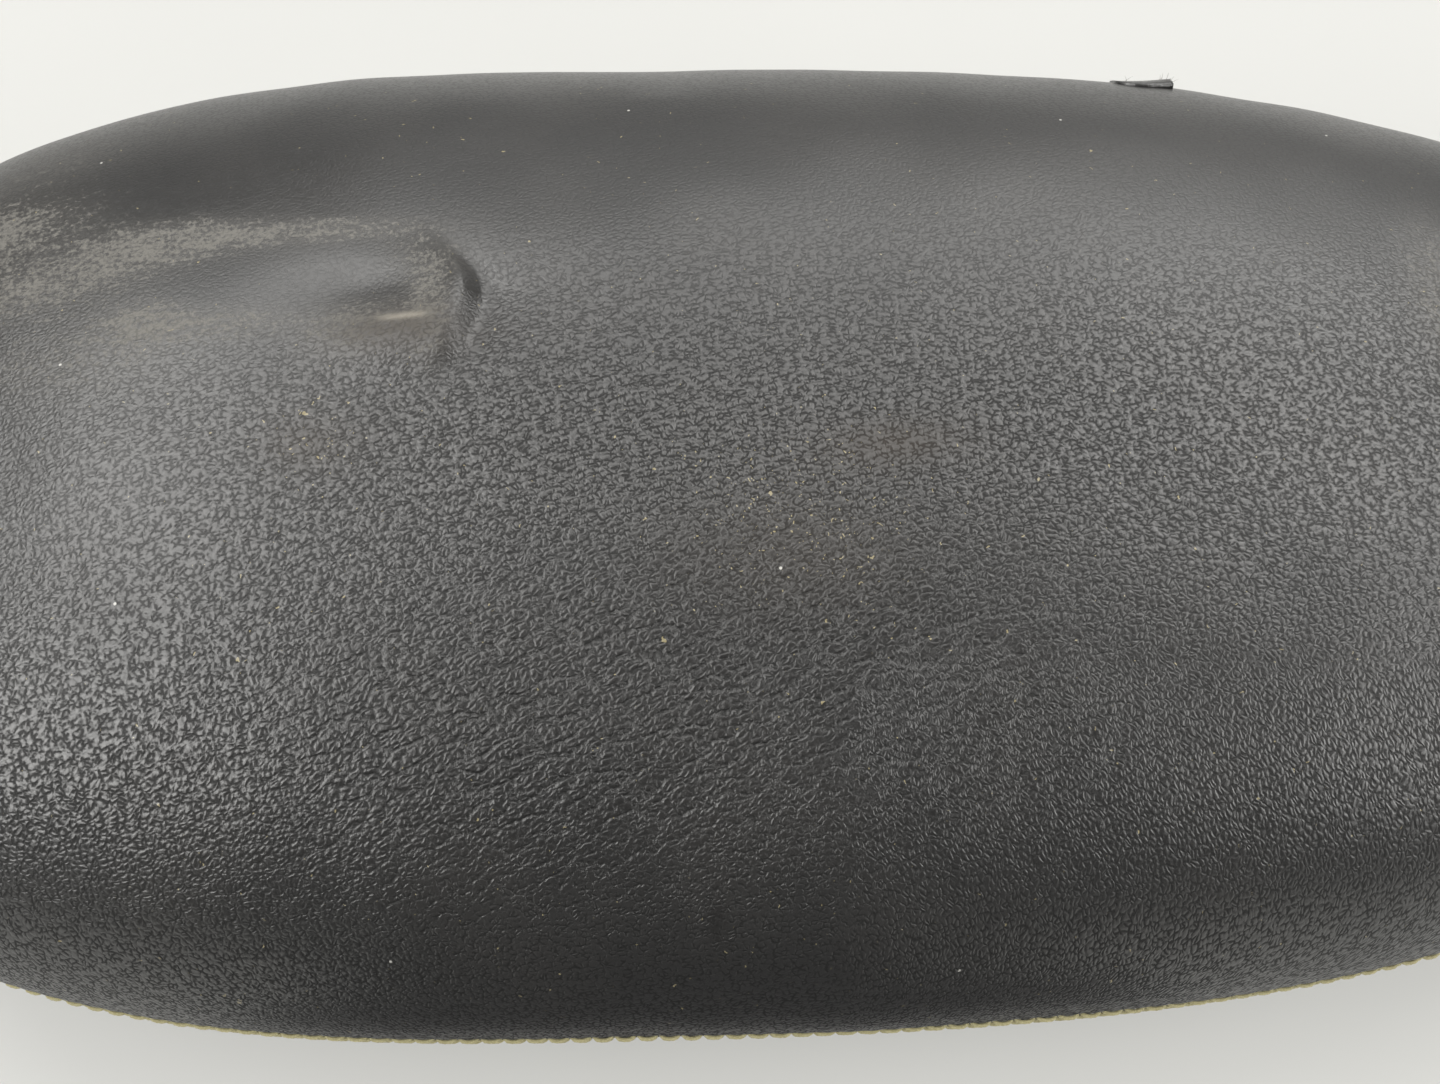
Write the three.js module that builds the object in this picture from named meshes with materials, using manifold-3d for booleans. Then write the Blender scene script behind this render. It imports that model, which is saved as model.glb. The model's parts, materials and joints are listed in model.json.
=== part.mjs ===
// Upholstered chair armrest pad with a slide-and-swivel adjuster, in millimetres.
// +X points to the front (hand) end, +Y to the inner side, +Z up. The origin is the middle of the
// mounting face, under the centre of the pad's plan.
import * as THREE from "three";
import { mergeVertices } from "three/addons/utils/BufferGeometryUtils.js";
import Module from "manifold-3d";

const wasm = await Module();
wasm.setup();

// ---------------------------------------------------------------- driving dimensions

const PAD_LENGTH = 252;
const PAD_WIDTH = 128;
const WIDEST_FROM_REAR = 103; // the plan is egg shaped: blunt at the elbow, longer towards the hand
const PLAN_POWER = 2.7; // superellipse power of the plan
const CROWN_SIDE_POWER = 2.55; // how far the crown stays flat before its shoulder
const CROWN_TOP_POWER = 2.2;
const PLAN_SEGMENTS = 56;

const COVER_THICKNESS = 1.5;
const COVER_GAP = 0.3;
const COMFORT_THICKNESS = 10;
const SEAM_TUCK = 1.6; // the side wall draws in this much by the seam
const THREAD_RADIUS = 0.35;
const STITCH_ROW_OFFSET = 1.7; // each stitch row stands this far from the seam

// Heights above the mounting face.
const PLATE_TOP = 3;
const TURNTABLE_TOP = 8.2;
const WASHER_TOP = 9.1;
const CARRIAGE_BOTTOM = 9.3;
const RAIL_BOTTOM = 10.2;
const RAIL_TOP = 19.2;
const TRAY_TOP = 21.7;
const BAND_BOTTOM = 22.5;
const BOARD_BOTTOM = 24;
const SEAM_HEIGHT = 28;
const BOARD_TOP = 36; // also the height at which the pad is widest
const CROWN_HEIGHT = 70;

const BASE_LENGTH = 100;
const BASE_WIDTH = 56;
const MOUNT_SPACING_X = 80;
const MOUNT_SPACING_Y = 36;
const MOUNT_HOLE_RADIUS = 3.3;

const TURNTABLE_RADIUS = 37.5;
const SWIVEL_STEP = 8; // degrees between swivel detents
const SWIVEL_DETENTS_EACH_WAY = 3;
const SLIDE_PITCH = 5;
const SLIDE_DETENTS_EACH_WAY = 5;

const PIVOT_RADIUS = 4;
const RAIL_THICKNESS = 1.5;
const RAIL_HALF_LENGTH = 99;
const RAIL_OUTER_Y = 34;
const RAIL_TOP_FLANGE = 13.5;
const RAIL_BOTTOM_FLANGE = 8;
const RAIL_BOLT_X = 90;
const RAIL_BOLT_Y = 27;
const RAIL_BOLT_RADIUS = 3;
const CARRIAGE_HALF_LENGTH = 55;
const RUN_CLEARANCE = 0.3;
const SMALL_GAP = 0.3;

const BOARD_INSET = 7;
const TRAY_INSET = 5;
const BAND_RETURN_INSET = 16;
const TRAY_SCREW_INSET = 21.5;
const TRAY_SCREW_ANGLES = [0, 62, 118, 180, 242, 298];

const WIDEST_X = WIDEST_FROM_REAR - PAD_LENGTH / 2;

// ---------------------------------------------------------------- materials

function material(color, roughness, metalness = 0) {
  return new THREE.MeshStandardMaterial({ color, roughness, metalness });
}

const leather = material(0x343436, 0.5);
const thread = material(0xb3a774, 0.75);
const foam = material(0xd8cfa8, 0.95);
const softFoam = material(0x9aa7b4, 0.95);
const plywood = material(0xc49a6a, 0.7);
const trayPlastic = material(0x1b1b1c, 0.55);
const nylon = material(0x2a2a2c, 0.45);
const acetal = material(0xe6e3da, 0.35);
const blackSteel = material(0x232427, 0.4, 0.8);
const zincSteel = material(0xb9bcc0, 0.3, 1);
const springSteel = material(0x8f959c, 0.25, 1);
const bronze = material(0xa9824a, 0.35, 1);
const rubber = material(0x1a1a1a, 0.9);

const armrestPad = new THREE.Group();

function addPart(name, geometry, finish) {
  const mesh = new THREE.Mesh(geometry, finish);
  mesh.name = name;
  armrestPad.add(mesh);
  return mesh;
}

// ---------------------------------------------------------------- solids and booleans

function toSolid(geometry) {
  const bare = geometry.index ? geometry.toNonIndexed() : geometry.clone();
  bare.deleteAttribute("normal");
  bare.deleteAttribute("uv");
  const merged = mergeVertices(bare, 1e-4);
  const corners = merged.index.array;
  const kept = [];
  for (let i = 0; i < corners.length; i += 3) {
    const [a, b, c] = [corners[i], corners[i + 1], corners[i + 2]];
    if (a !== b && b !== c && c !== a) kept.push(a, b, c);
  }
  return new wasm.Manifold(
    new wasm.Mesh({
      numProp: 3,
      vertProperties: new Float32Array(merged.attributes.position.array),
      triVerts: new Uint32Array(kept),
    }),
  );
}

function toGeometry(solid) {
  const mesh = solid.getMesh();
  const geometry = new THREE.BufferGeometry();
  geometry.setAttribute("position", new THREE.BufferAttribute(mesh.vertProperties, 3));
  geometry.setIndex(new THREE.BufferAttribute(mesh.triVerts, 1));
  geometry.computeVertexNormals();
  return geometry;
}

function cut(geometry, ...tools) {
  return toGeometry(tools.reduce((solid, tool) => solid.subtract(toSolid(tool)), toSolid(geometry)));
}

function join(geometry, ...others) {
  return toGeometry(others.reduce((solid, other) => solid.add(toSolid(other)), toSolid(geometry)));
}

// ---------------------------------------------------------------- simple shapes

// A solid of revolution about +Z from [radius, height] pairs listed up its outside.
function turned(profile, segments = 20) {
  const points = profile.map(([radius, height]) => new THREE.Vector2(radius, height));
  return new THREE.LatheGeometry(points, segments).rotateX(Math.PI / 2);
}

function disc(radius, bottom, top, segments = 20) {
  return turned([[0, bottom], [radius, bottom], [radius, top], [0, top]], segments);
}

function washer(inner, outer, bottom, top, segments = 28) {
  const profile = [[inner, bottom], [outer, bottom], [outer, top], [inner, top], [inner, bottom]];
  return turned(profile, segments);
}

function block(x0, x1, y0, y1, z0, z1) {
  return new THREE.BoxGeometry(x1 - x0, y1 - y0, z1 - z0).translate(
    (x0 + x1) / 2,
    (y0 + y1) / 2,
    (z0 + z1) / 2,
  );
}

function roundedPlate(length, width, radius, bottom, top) {
  const [x, y] = [length / 2, width / 2];
  const shape = new THREE.Shape();
  shape.moveTo(-x + radius, -y);
  shape.lineTo(x - radius, -y);
  shape.absarc(x - radius, -y + radius, radius, -Math.PI / 2, 0);
  shape.lineTo(x, y - radius);
  shape.absarc(x - radius, y - radius, radius, 0, Math.PI / 2);
  shape.lineTo(-x + radius, y);
  shape.absarc(-x + radius, y - radius, radius, Math.PI / 2, Math.PI);
  shape.lineTo(-x, -y + radius);
  shape.absarc(-x + radius, -y + radius, radius, Math.PI, 1.5 * Math.PI);
  const flat = { depth: top - bottom, bevelEnabled: false, curveSegments: 5 };
  return new THREE.ExtrudeGeometry(shape, flat).translate(0, 0, bottom);
}

// An outline in the XZ plane, extruded along Y from y0 to y1.
function sideProfile(points, y0, y1) {
  const shape = new THREE.Shape(points.map(([x, z]) => new THREE.Vector2(x, z)));
  return new THREE.ExtrudeGeometry(shape, { depth: y1 - y0, bevelEnabled: false })
    .rotateX(Math.PI / 2)
    .translate(0, y1, 0);
}

// An outline in the YZ plane, extruded along X from x0 to x1.
function endProfile(points, x0, x1) {
  const shape = new THREE.Shape(points.map(([y, z]) => new THREE.Vector2(y, z)));
  return new THREE.ExtrudeGeometry(shape, { depth: x1 - x0, bevelEnabled: false })
    .rotateX(Math.PI / 2)
    .rotateZ(Math.PI / 2)
    .translate(x0, 0, 0);
}

// ---------------------------------------------------------------- the pad's plan and crown

// One closed ring of the egg-shaped plan, drawn in by inset, shrunk by scale about its widest point.
function planRing(inset, height, scale = 1) {
  const ring = [];
  for (let i = 0; i < PLAN_SEGMENTS; i++) {
    const angle = (2 * Math.PI * i) / PLAN_SEGMENTS;
    const [x, y] = planPoint(angle, inset);
    ring.push([WIDEST_X + (x - WIDEST_X) * scale, y * scale, height]);
  }
  return ring;
}

function planPoint(angle, inset) {
  const [c, s] = [Math.cos(angle), Math.sin(angle)];
  const reach = (c > 0 ? PAD_LENGTH - WIDEST_FROM_REAR : WIDEST_FROM_REAR) - inset;
  const power = PLAN_POWER;
  const scale = (Math.abs(c) ** power + Math.abs(s) ** power) ** (-1 / power);
  return [WIDEST_X + reach * c * scale, (PAD_WIDTH / 2 - inset) * s * scale];
}

// Height of the crown at share (0 at its middle, 1 at its rim) for a surface drawn in by inset.
function crownHeight(share, inset) {
  const rise = CROWN_HEIGHT - BOARD_TOP - inset;
  return BOARD_TOP + rise * (1 - share ** CROWN_SIDE_POWER) ** (1 / CROWN_TOP_POWER);
}

// Rings of the crown from its middle out to its rim. The last steps are fine, where it turns down.
const CROWN_SHARES = [0.25, 0.45, 0.62, 0.75, 0.85, 0.92, 0.965, 0.99, 1];

function crownRings(inset) {
  return CROWN_SHARES.map((share) => planRing(inset, crownHeight(share, inset), share));
}

// The side wall between the widest line and the seam leans in by this much at height.
function wallTuck(height) {
  return SEAM_TUCK * ((BOARD_TOP - height) / (BOARD_TOP - SEAM_HEIGHT)) ** 2;
}

// A closed surface through rings listed from the outside's middle to the inside's middle. A ring is
// joined to the next by quads, and first and last are closed by a fan to the apex points if given.
function lofted(rings, firstApex, lastApex) {
  const corners = [];
  const quad = (a, b, c, d) => corners.push(...a, ...b, ...c, ...a, ...c, ...d);
  const count = PLAN_SEGMENTS;
  const pairs = firstApex ? rings.length - 1 : rings.length;
  for (let r = 0; r < pairs; r++) {
    const [upper, lower] = [rings[r], rings[(r + 1) % rings.length]];
    for (let i = 0; i < count; i++) {
      const j = (i + 1) % count;
      quad(upper[i], lower[i], lower[j], upper[j]);
    }
  }
  if (firstApex) {
    const last = rings[rings.length - 1];
    for (let i = 0; i < count; i++) {
      const j = (i + 1) % count;
      corners.push(...firstApex, ...rings[0][i], ...rings[0][j]);
      corners.push(...lastApex, ...last[j], ...last[i]);
    }
  }
  const geometry = new THREE.BufferGeometry();
  geometry.setAttribute("position", new THREE.Float32BufferAttribute(corners, 3));
  geometry.computeVertexNormals();
  return geometry;
}

function apex(height) {
  return [WIDEST_X, 0, height];
}

// ---------------------------------------------------------------- upholstery

function topCover() {
  const outer = crownRings(0);
  const inner = crownRings(COVER_THICKNESS).reverse();
  const wall = [33.5, 31, SEAM_HEIGHT + 0.1];
  const outerWall = wall.map((height) => planRing(wallTuck(height), height));
  const innerWall = wall.map((height) => planRing(wallTuck(height) + COVER_THICKNESS, height)).reverse();
  return lofted(
    [...outer, ...outerWall, ...innerWall, ...inner],
    apex(CROWN_HEIGHT),
    apex(CROWN_HEIGHT - COVER_THICKNESS),
  );
}

// The strip below the seam turns under the board's edge and lies flat against its underside.
const BAND_PROFILE = [
  [SEAM_TUCK, SEAM_HEIGHT - 0.1],
  [SEAM_TUCK + 0.9, 25.8],
  [SEAM_TUCK + 1.9, 23.9],
  [SEAM_TUCK + 3.4, 22.8],
  [SEAM_TUCK + 5.4, BAND_BOTTOM],
  [BAND_RETURN_INSET, BAND_BOTTOM],
];
const BAND_THICKNESS = 1.2;
const BAND_INNER_PROFILE = [
  [BAND_RETURN_INSET, BAND_BOTTOM + BAND_THICKNESS],
  [SEAM_TUCK + 5.6, BAND_BOTTOM + BAND_THICKNESS],
  [SEAM_TUCK + 4.1, 23.95],
  [SEAM_TUCK + 3, 24.7],
  [SEAM_TUCK + 2.1, 26.2],
  [SEAM_TUCK + COVER_THICKNESS, SEAM_HEIGHT - 0.1],
];

function lowerBand() {
  const rings = [...BAND_PROFILE, ...BAND_INNER_PROFILE].map(([inset, height]) => planRing(inset, height));
  return cut(lofted(rings), ...stapleHoles());
}

// ---------------------------------------------------------------- staples

const STAPLE_COUNT = 12;
const STAPLE_INSET = 11.5;
const STAPLE_HALF_WIDTH = 5;
const STAPLE_WIRE = 0.6;
const STAPLE_BOTTOM = BAND_BOTTOM - 0.65;
const STAPLE_TIP = 31;

// [x, y, heading] of each staple, laid along the edge of the board.
function staplePlaces() {
  const places = [];
  for (let i = 0; i < STAPLE_COUNT; i++) {
    const angle = (2 * Math.PI * (i + 0.5)) / STAPLE_COUNT;
    const [x, y] = planPoint(angle, STAPLE_INSET);
    const [nextX, nextY] = planPoint(angle + 0.01, STAPLE_INSET);
    places.push([x, y, Math.atan2(nextY - y, nextX - x)]);
  }
  return places;
}

function staple() {
  const [wide, wire] = [STAPLE_HALF_WIDTH, STAPLE_WIRE];
  const outline = [
    [-wide, STAPLE_BOTTOM],
    [wide, STAPLE_BOTTOM],
    [wide, STAPLE_TIP],
    [wide - wire, STAPLE_TIP],
    [wide - wire, STAPLE_BOTTOM + wire - 0.1],
    [-wide + wire, STAPLE_BOTTOM + wire - 0.1],
    [-wide + wire, STAPLE_TIP],
    [-wide, STAPLE_TIP],
  ];
  return sideProfile(outline, -wire / 2, wire / 2);
}

// The band and the board are pierced by every staple's two legs.
function stapleHoles() {
  const [wide, wire, gap] = [STAPLE_HALF_WIDTH, STAPLE_WIRE, 0.3];
  return staplePlaces().flatMap(([x, y, heading]) =>
    [-wide, wide - wire].map((leg) =>
      block(leg - gap, leg + wire + gap, -wire / 2 - gap, wire / 2 + gap, BAND_BOTTOM - 1, STAPLE_TIP + 0.5)
        .rotateZ(heading)
        .translate(x, y, 0),
    ),
  );
}

// ---------------------------------------------------------------- stitches and foam

// A plain thread ring that stands for one row of stitches along the seam.
function stitchRow(inset, height) {
  const sides = 6;
  const rings = [];
  for (let i = 0; i < sides; i++) {
    const angle = -(2 * Math.PI * i) / sides;
    const out = inset - COVER_GAP - THREAD_RADIUS - THREAD_RADIUS * Math.cos(angle);
    rings.push(planRing(out, height + THREAD_RADIUS * Math.sin(angle)));
  }
  return lofted(rings);
}

// Soft layer over the crown, which also pads the board's edge inside the side wall.
function comfortFoam() {
  const skin = COVER_THICKNESS + COVER_GAP;
  const rim = 5.2;
  const inner = crownRings(skin + COMFORT_THICKNESS).reverse();
  const outerWall = [
    planRing(SEAM_TUCK + skin, SEAM_HEIGHT),
    planRing(rim, 25.2),
    planRing(BOARD_INSET - SMALL_GAP, 25.2),
    planRing(BOARD_INSET - SMALL_GAP, BOARD_TOP + SMALL_GAP),
    planRing(skin + COMFORT_THICKNESS, BOARD_TOP + SMALL_GAP),
  ];
  return lofted(
    [...crownRings(skin), ...outerWall, ...inner.slice(1)],
    apex(CROWN_HEIGHT - skin),
    apex(CROWN_HEIGHT - skin - COMFORT_THICKNESS),
  );
}

function foamCore() {
  const inset = COVER_THICKNESS + 2 * COVER_GAP + COMFORT_THICKNESS;
  return lofted(
    [...crownRings(inset), planRing(inset, BOARD_TOP, 0.5)],
    apex(CROWN_HEIGHT - inset),
    apex(BOARD_TOP),
  );
}

addPart("top_cover", topCover(), leather);
addPart("lower_band", lowerBand(), leather);
const UPPER_ROW = SEAM_HEIGHT + STITCH_ROW_OFFSET;
const LOWER_ROW = SEAM_HEIGHT - STITCH_ROW_OFFSET;
addPart("topstitch_upper", stitchRow(wallTuck(UPPER_ROW), UPPER_ROW), thread);
addPart("topstitch_lower", stitchRow(SEAM_TUCK + 0.6, LOWER_ROW), thread);
addPart("comfort_foam", comfortFoam(), softFoam);
addPart("foam_core", foamCore(), foam);

// ---------------------------------------------------------------- board, T-nuts and rail bolts

const T_NUT_FLANGE_RADIUS = 9.5;
const T_NUT_BARREL_RADIUS = 4.1;
const T_NUT_FLANGE_BOTTOM = BOARD_TOP - 1.5;
const T_NUT_BARREL_BOTTOM = 27;

function railBoltPlaces() {
  const places = [];
  for (const x of [-RAIL_BOLT_X, RAIL_BOLT_X]) {
    for (const y of [-RAIL_BOLT_Y, RAIL_BOLT_Y]) places.push([x, y]);
  }
  return places;
}

function trayScrewPlaces() {
  return TRAY_SCREW_ANGLES.map((degrees) => planPoint(THREE.MathUtils.degToRad(degrees), TRAY_SCREW_INSET));
}

function board() {
  const middle = (height) => planRing(BOARD_INSET, height, 0.5);
  const slab = lofted(
    [
      middle(BOARD_TOP),
      planRing(BOARD_INSET, BOARD_TOP),
      planRing(BOARD_INSET, BOARD_BOTTOM),
      middle(BOARD_BOTTOM),
    ],
    apex(BOARD_TOP),
    apex(BOARD_BOTTOM),
  );
  const holes = railBoltPlaces().flatMap(([x, y]) => [
    disc(T_NUT_BARREL_RADIUS + 0.25, BOARD_BOTTOM - 1, BOARD_TOP + 1).translate(x, y, 0),
    disc(T_NUT_FLANGE_RADIUS + 0.25, T_NUT_FLANGE_BOTTOM - 0.1, BOARD_TOP + 1).translate(x, y, 0),
  ]);
  const pilots = trayScrewPlaces().map(([x, y]) =>
    disc(TRAY_SCREW_RADIUS + 0.2, BOARD_BOTTOM - 1, TRAY_SCREW_TIP + 0.5, 12).translate(x, y, 0),
  );
  return cut(slab, ...holes, ...pilots, ...stapleHoles());
}

function tNut() {
  const bore = RAIL_BOLT_RADIUS + 0.2;
  return turned([
    [bore, T_NUT_BARREL_BOTTOM],
    [T_NUT_BARREL_RADIUS, T_NUT_BARREL_BOTTOM],
    [T_NUT_BARREL_RADIUS, T_NUT_FLANGE_BOTTOM],
    [T_NUT_FLANGE_RADIUS, T_NUT_FLANGE_BOTTOM],
    [T_NUT_FLANGE_RADIUS, BOARD_TOP - 0.1],
    [bore, BOARD_TOP - 0.1],
    [bore, T_NUT_BARREL_BOTTOM],
  ]);
}

const RAIL_INNER_TOP = RAIL_TOP - RAIL_THICKNESS;

// Hexagon-socket button head under the rail's upper flange, shank up into the T-nut.
function railBolt() {
  const headRadius = 5;
  const headHeight = 3.2;
  const body = turned([
    [0, RAIL_INNER_TOP - headHeight],
    [headRadius - 1.4, RAIL_INNER_TOP - headHeight],
    [headRadius, RAIL_INNER_TOP - headHeight + 1.6],
    [headRadius, RAIL_INNER_TOP],
    [RAIL_BOLT_RADIUS, RAIL_INNER_TOP],
    [RAIL_BOLT_RADIUS, 33],
    [0, 33],
  ]);
  const socket = disc(2.3, RAIL_INNER_TOP - headHeight - 1, RAIL_INNER_TOP - 1.4, 6);
  return cut(body, socket);
}

const TRAY_SCREW_RADIUS = 1.8;
const TRAY_SCREW_TIP = 33;

// Pan-head screw with a cross recess.
function trayScrew() {
  const bottom = RAIL_TOP - 2.2;
  const body = turned(
    [
      [0, bottom],
      [2.4, bottom],
      [3.5, bottom + 1],
      [3.5, RAIL_TOP],
      [TRAY_SCREW_RADIUS, RAIL_TOP],
      [TRAY_SCREW_RADIUS, TRAY_SCREW_TIP - 3],
      [0, TRAY_SCREW_TIP],
    ],
    16,
  );
  const along = block(-1.7, 1.7, -0.4, 0.4, bottom - 1, bottom + 1.2);
  const across = block(-0.4, 0.4, -1.7, 1.7, bottom - 1, bottom + 1.2);
  return cut(body, along, across);
}

addPart("carrier_board", board(), plywood);
staplePlaces().forEach(([x, y, heading], i) => {
  const mesh = addPart(`staple_${i + 1}`, staple(), zincSteel);
  mesh.position.set(x, y, 0);
  mesh.rotation.z = heading;
});
railBoltPlaces().forEach(([x, y], i) => {
  addPart(`t_nut_${i + 1}`, tNut(), zincSteel).position.set(x, y, 0);
  addPart(`rail_bolt_${i + 1}`, railBolt(), blackSteel).position.set(x, y, 0);
});

// ---------------------------------------------------------------- underside tray

const TRAY_BOTTOM = RAIL_TOP;
const TRAY_RIM_TOP = BAND_BOTTOM - 0.2;

function tray() {
  const body = lofted(
    [
      planRing(BAND_RETURN_INSET + 0.6, BOARD_BOTTOM, 0.5),
      planRing(BAND_RETURN_INSET + 0.6, BOARD_BOTTOM),
      planRing(BAND_RETURN_INSET + 0.6, TRAY_TOP),
      planRing(TRAY_INSET + 2.6, TRAY_TOP),
      planRing(TRAY_INSET + 2.6, TRAY_RIM_TOP - 0.1),
      planRing(TRAY_INSET, TRAY_RIM_TOP - 0.1),
      planRing(TRAY_INSET, TRAY_BOTTOM + 1.2),
      planRing(TRAY_INSET + 1.2, TRAY_BOTTOM),
      planRing(TRAY_INSET, TRAY_BOTTOM, 0.5),
    ],
    apex(BOARD_BOTTOM),
    apex(TRAY_BOTTOM),
  );
  const boltHoles = railBoltPlaces().map(([x, y]) =>
    disc(RAIL_BOLT_RADIUS + 0.3, TRAY_BOTTOM - 1, BOARD_BOTTOM + 1, 16).translate(x, y, 0),
  );
  const screwHoles = trayScrewPlaces().map(([x, y]) =>
    disc(TRAY_SCREW_RADIUS + 0.3, TRAY_BOTTOM - 1, BOARD_BOTTOM + 1, 12).translate(x, y, 0),
  );
  return cut(body, ...boltHoles, ...screwHoles);
}

addPart("underside_tray", tray(), trayPlastic);
trayScrewPlaces().forEach(([x, y], i) => {
  addPart(`tray_screw_${i + 1}`, trayScrew(), blackSteel).position.set(x, y, 0);
});

// ---------------------------------------------------------------- slide rails and end bumpers

// A C channel that opens towards the pad's middle, for the side with positive Y.
function rail() {
  const [outer, bottom, top, t] = [RAIL_OUTER_Y, RAIL_BOTTOM, RAIL_TOP, RAIL_THICKNESS];
  const channel = endProfile(
    [
      [outer - RAIL_BOTTOM_FLANGE, bottom],
      [outer, bottom],
      [outer, top],
      [outer - RAIL_TOP_FLANGE, top],
      [outer - RAIL_TOP_FLANGE, top - t],
      [outer - t, top - t],
      [outer - t, bottom + t],
      [outer - RAIL_BOTTOM_FLANGE, bottom + t],
    ],
    -RAIL_HALF_LENGTH,
    RAIL_HALF_LENGTH,
  );
  const holes = [-RAIL_BOLT_X, RAIL_BOLT_X].flatMap((x) => [
    disc(RAIL_BOLT_RADIUS + 0.2, top - t - 1, top + 1, 16).translate(x, RAIL_BOLT_Y, 0),
    disc(5.4, bottom - 1, bottom + t + 1, 16).translate(x, RAIL_BOLT_Y, 0),
  ]);
  return cut(channel, ...holes);
}

addPart("rail_inner", rail(), zincSteel);
addPart("rail_outer", rail(), zincSteel).rotation.z = Math.PI;

const BUMPER_LENGTH = 4.2;
const BUMPER_START = 80.5;
[
  ["front_inner", 1, 1],
  ["front_outer", 1, -1],
  ["rear_inner", -1, 1],
  ["rear_outer", -1, -1],
].forEach(([place, x, y]) => {
  const [near, far] = [23.5, RAIL_OUTER_Y - RAIL_THICKNESS];
  const [x0, x1] = [x * BUMPER_START, x * (BUMPER_START + BUMPER_LENGTH)].sort((a, b) => a - b);
  const [y0, y1] = [y * near, y * far].sort((a, b) => a - b);
  const bumper = block(x0, x1, y0, y1, RAIL_BOTTOM + RAIL_THICKNESS, RAIL_INNER_TOP);
  addPart(`bumper_${place}`, bumper, rubber);
});

// ---------------------------------------------------------------- slide carriage

const CARRIAGE_TOP = RAIL_INNER_TOP - RUN_CLEARANCE;
const TONGUE_BOTTOM = RAIL_BOTTOM + RAIL_THICKNESS + RUN_CLEARANCE;
const TONGUE_Y = RAIL_OUTER_Y - RAIL_THICKNESS - 0.4;
const CARRIAGE_WAIST_Y = RAIL_OUTER_Y - RAIL_BOTTOM_FLANGE - 0.5;
const NUT_POCKET_FLOOR = 13;
const NUT_POCKET_RADIUS = 11;
const BUSHING_OUTER = 6;
const DETENT_Y = 16.5; // the slide detent runs along this line
const DETENT_HALF_WIDTH = 3;
const LEAF_HALF_LENGTH = 15;
const LEAF_THICKNESS = 0.5;
const LEAF_POCKET_FLOOR = 15.4;
const LEAF_NOSE_TOP = 18.55;

function carriage() {
  const body = endProfile(
    [
      [-CARRIAGE_WAIST_Y, CARRIAGE_BOTTOM],
      [CARRIAGE_WAIST_Y, CARRIAGE_BOTTOM],
      [CARRIAGE_WAIST_Y, TONGUE_BOTTOM],
      [TONGUE_Y, TONGUE_BOTTOM],
      [TONGUE_Y, CARRIAGE_TOP],
      [-TONGUE_Y, CARRIAGE_TOP],
      [-TONGUE_Y, TONGUE_BOTTOM],
      [-CARRIAGE_WAIST_Y, TONGUE_BOTTOM],
    ],
    -CARRIAGE_HALF_LENGTH,
    CARRIAGE_HALF_LENGTH,
  );
  const bore = disc(BUSHING_OUTER + 0.1, CARRIAGE_BOTTOM - 1, NUT_POCKET_FLOOR + 1, 24);
  const nutPocket = disc(NUT_POCKET_RADIUS, NUT_POCKET_FLOOR, CARRIAGE_TOP + 1, 28);
  const leafPocket = block(
    -LEAF_HALF_LENGTH - 0.6,
    LEAF_HALF_LENGTH + 0.6,
    DETENT_Y - DETENT_HALF_WIDTH,
    DETENT_Y + DETENT_HALF_WIDTH,
    LEAF_POCKET_FLOOR,
    CARRIAGE_TOP + 1,
  );
  const screwHole = disc(1.7, CARRIAGE_BOTTOM - 1, 15.5, 12).translate(SPRING_SCREW_X, 0, 0);
  const lightening = [-1, 1].map((side) =>
    block(side * 34 - 10, side * 34 + 10, -11, 11, 14.4, CARRIAGE_TOP + 1),
  );
  return cut(body, bore, nutPocket, leafPocket, screwHole, ...lightening);
}

// An arched leaf whose nose clicks into the rack's notches.
function slideLeaf() {
  const [half, t, low] = [LEAF_HALF_LENGTH, LEAF_THICKNESS, LEAF_POCKET_FLOOR];
  const shoulder = CARRIAGE_TOP - t;
  const outline = [
    [-half, low],
    [-half + 3, low],
    [-2.6, shoulder],
    [-0.8, LEAF_NOSE_TOP - t],
    [0.8, LEAF_NOSE_TOP - t],
    [2.6, shoulder],
    [half - 3, low],
    [half, low],
    [half, low + t],
    [half - 3, low + t],
    [2.3, shoulder + t],
    [0.6, LEAF_NOSE_TOP],
    [-0.6, LEAF_NOSE_TOP],
    [-2.3, shoulder + t],
    [-half + 3, low + t],
    [-half, low + t],
  ];
  return sideProfile(outline, DETENT_Y - DETENT_HALF_WIDTH + 0.5, DETENT_Y + DETENT_HALF_WIDTH - 0.5);
}

// Toothed strip under the tray: a notch at each slide position.
function rack() {
  const [low, high] = [CARRIAGE_TOP + 0.5, RAIL_TOP];
  const end = SLIDE_PITCH * (SLIDE_DETENTS_EACH_WAY + 1);
  const outline = [[-end, high], [-end, low]];
  for (let i = -SLIDE_DETENTS_EACH_WAY; i <= SLIDE_DETENTS_EACH_WAY; i++) {
    const x = i * SLIDE_PITCH;
    outline.push([x - 2, low], [x - 1.2, low + 0.95], [x + 1.2, low + 0.95], [x + 2, low]);
  }
  outline.push([end, low], [end, high]);
  return sideProfile(outline, DETENT_Y - DETENT_HALF_WIDTH, DETENT_Y + DETENT_HALF_WIDTH);
}

const NOSE_REACH = 38.6; // the swivel spring's nose and the turntable's notches are centred at this radius
const NOSE_RADIUS = 2.2;
const SPRING_SCREW_X = 47;

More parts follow.
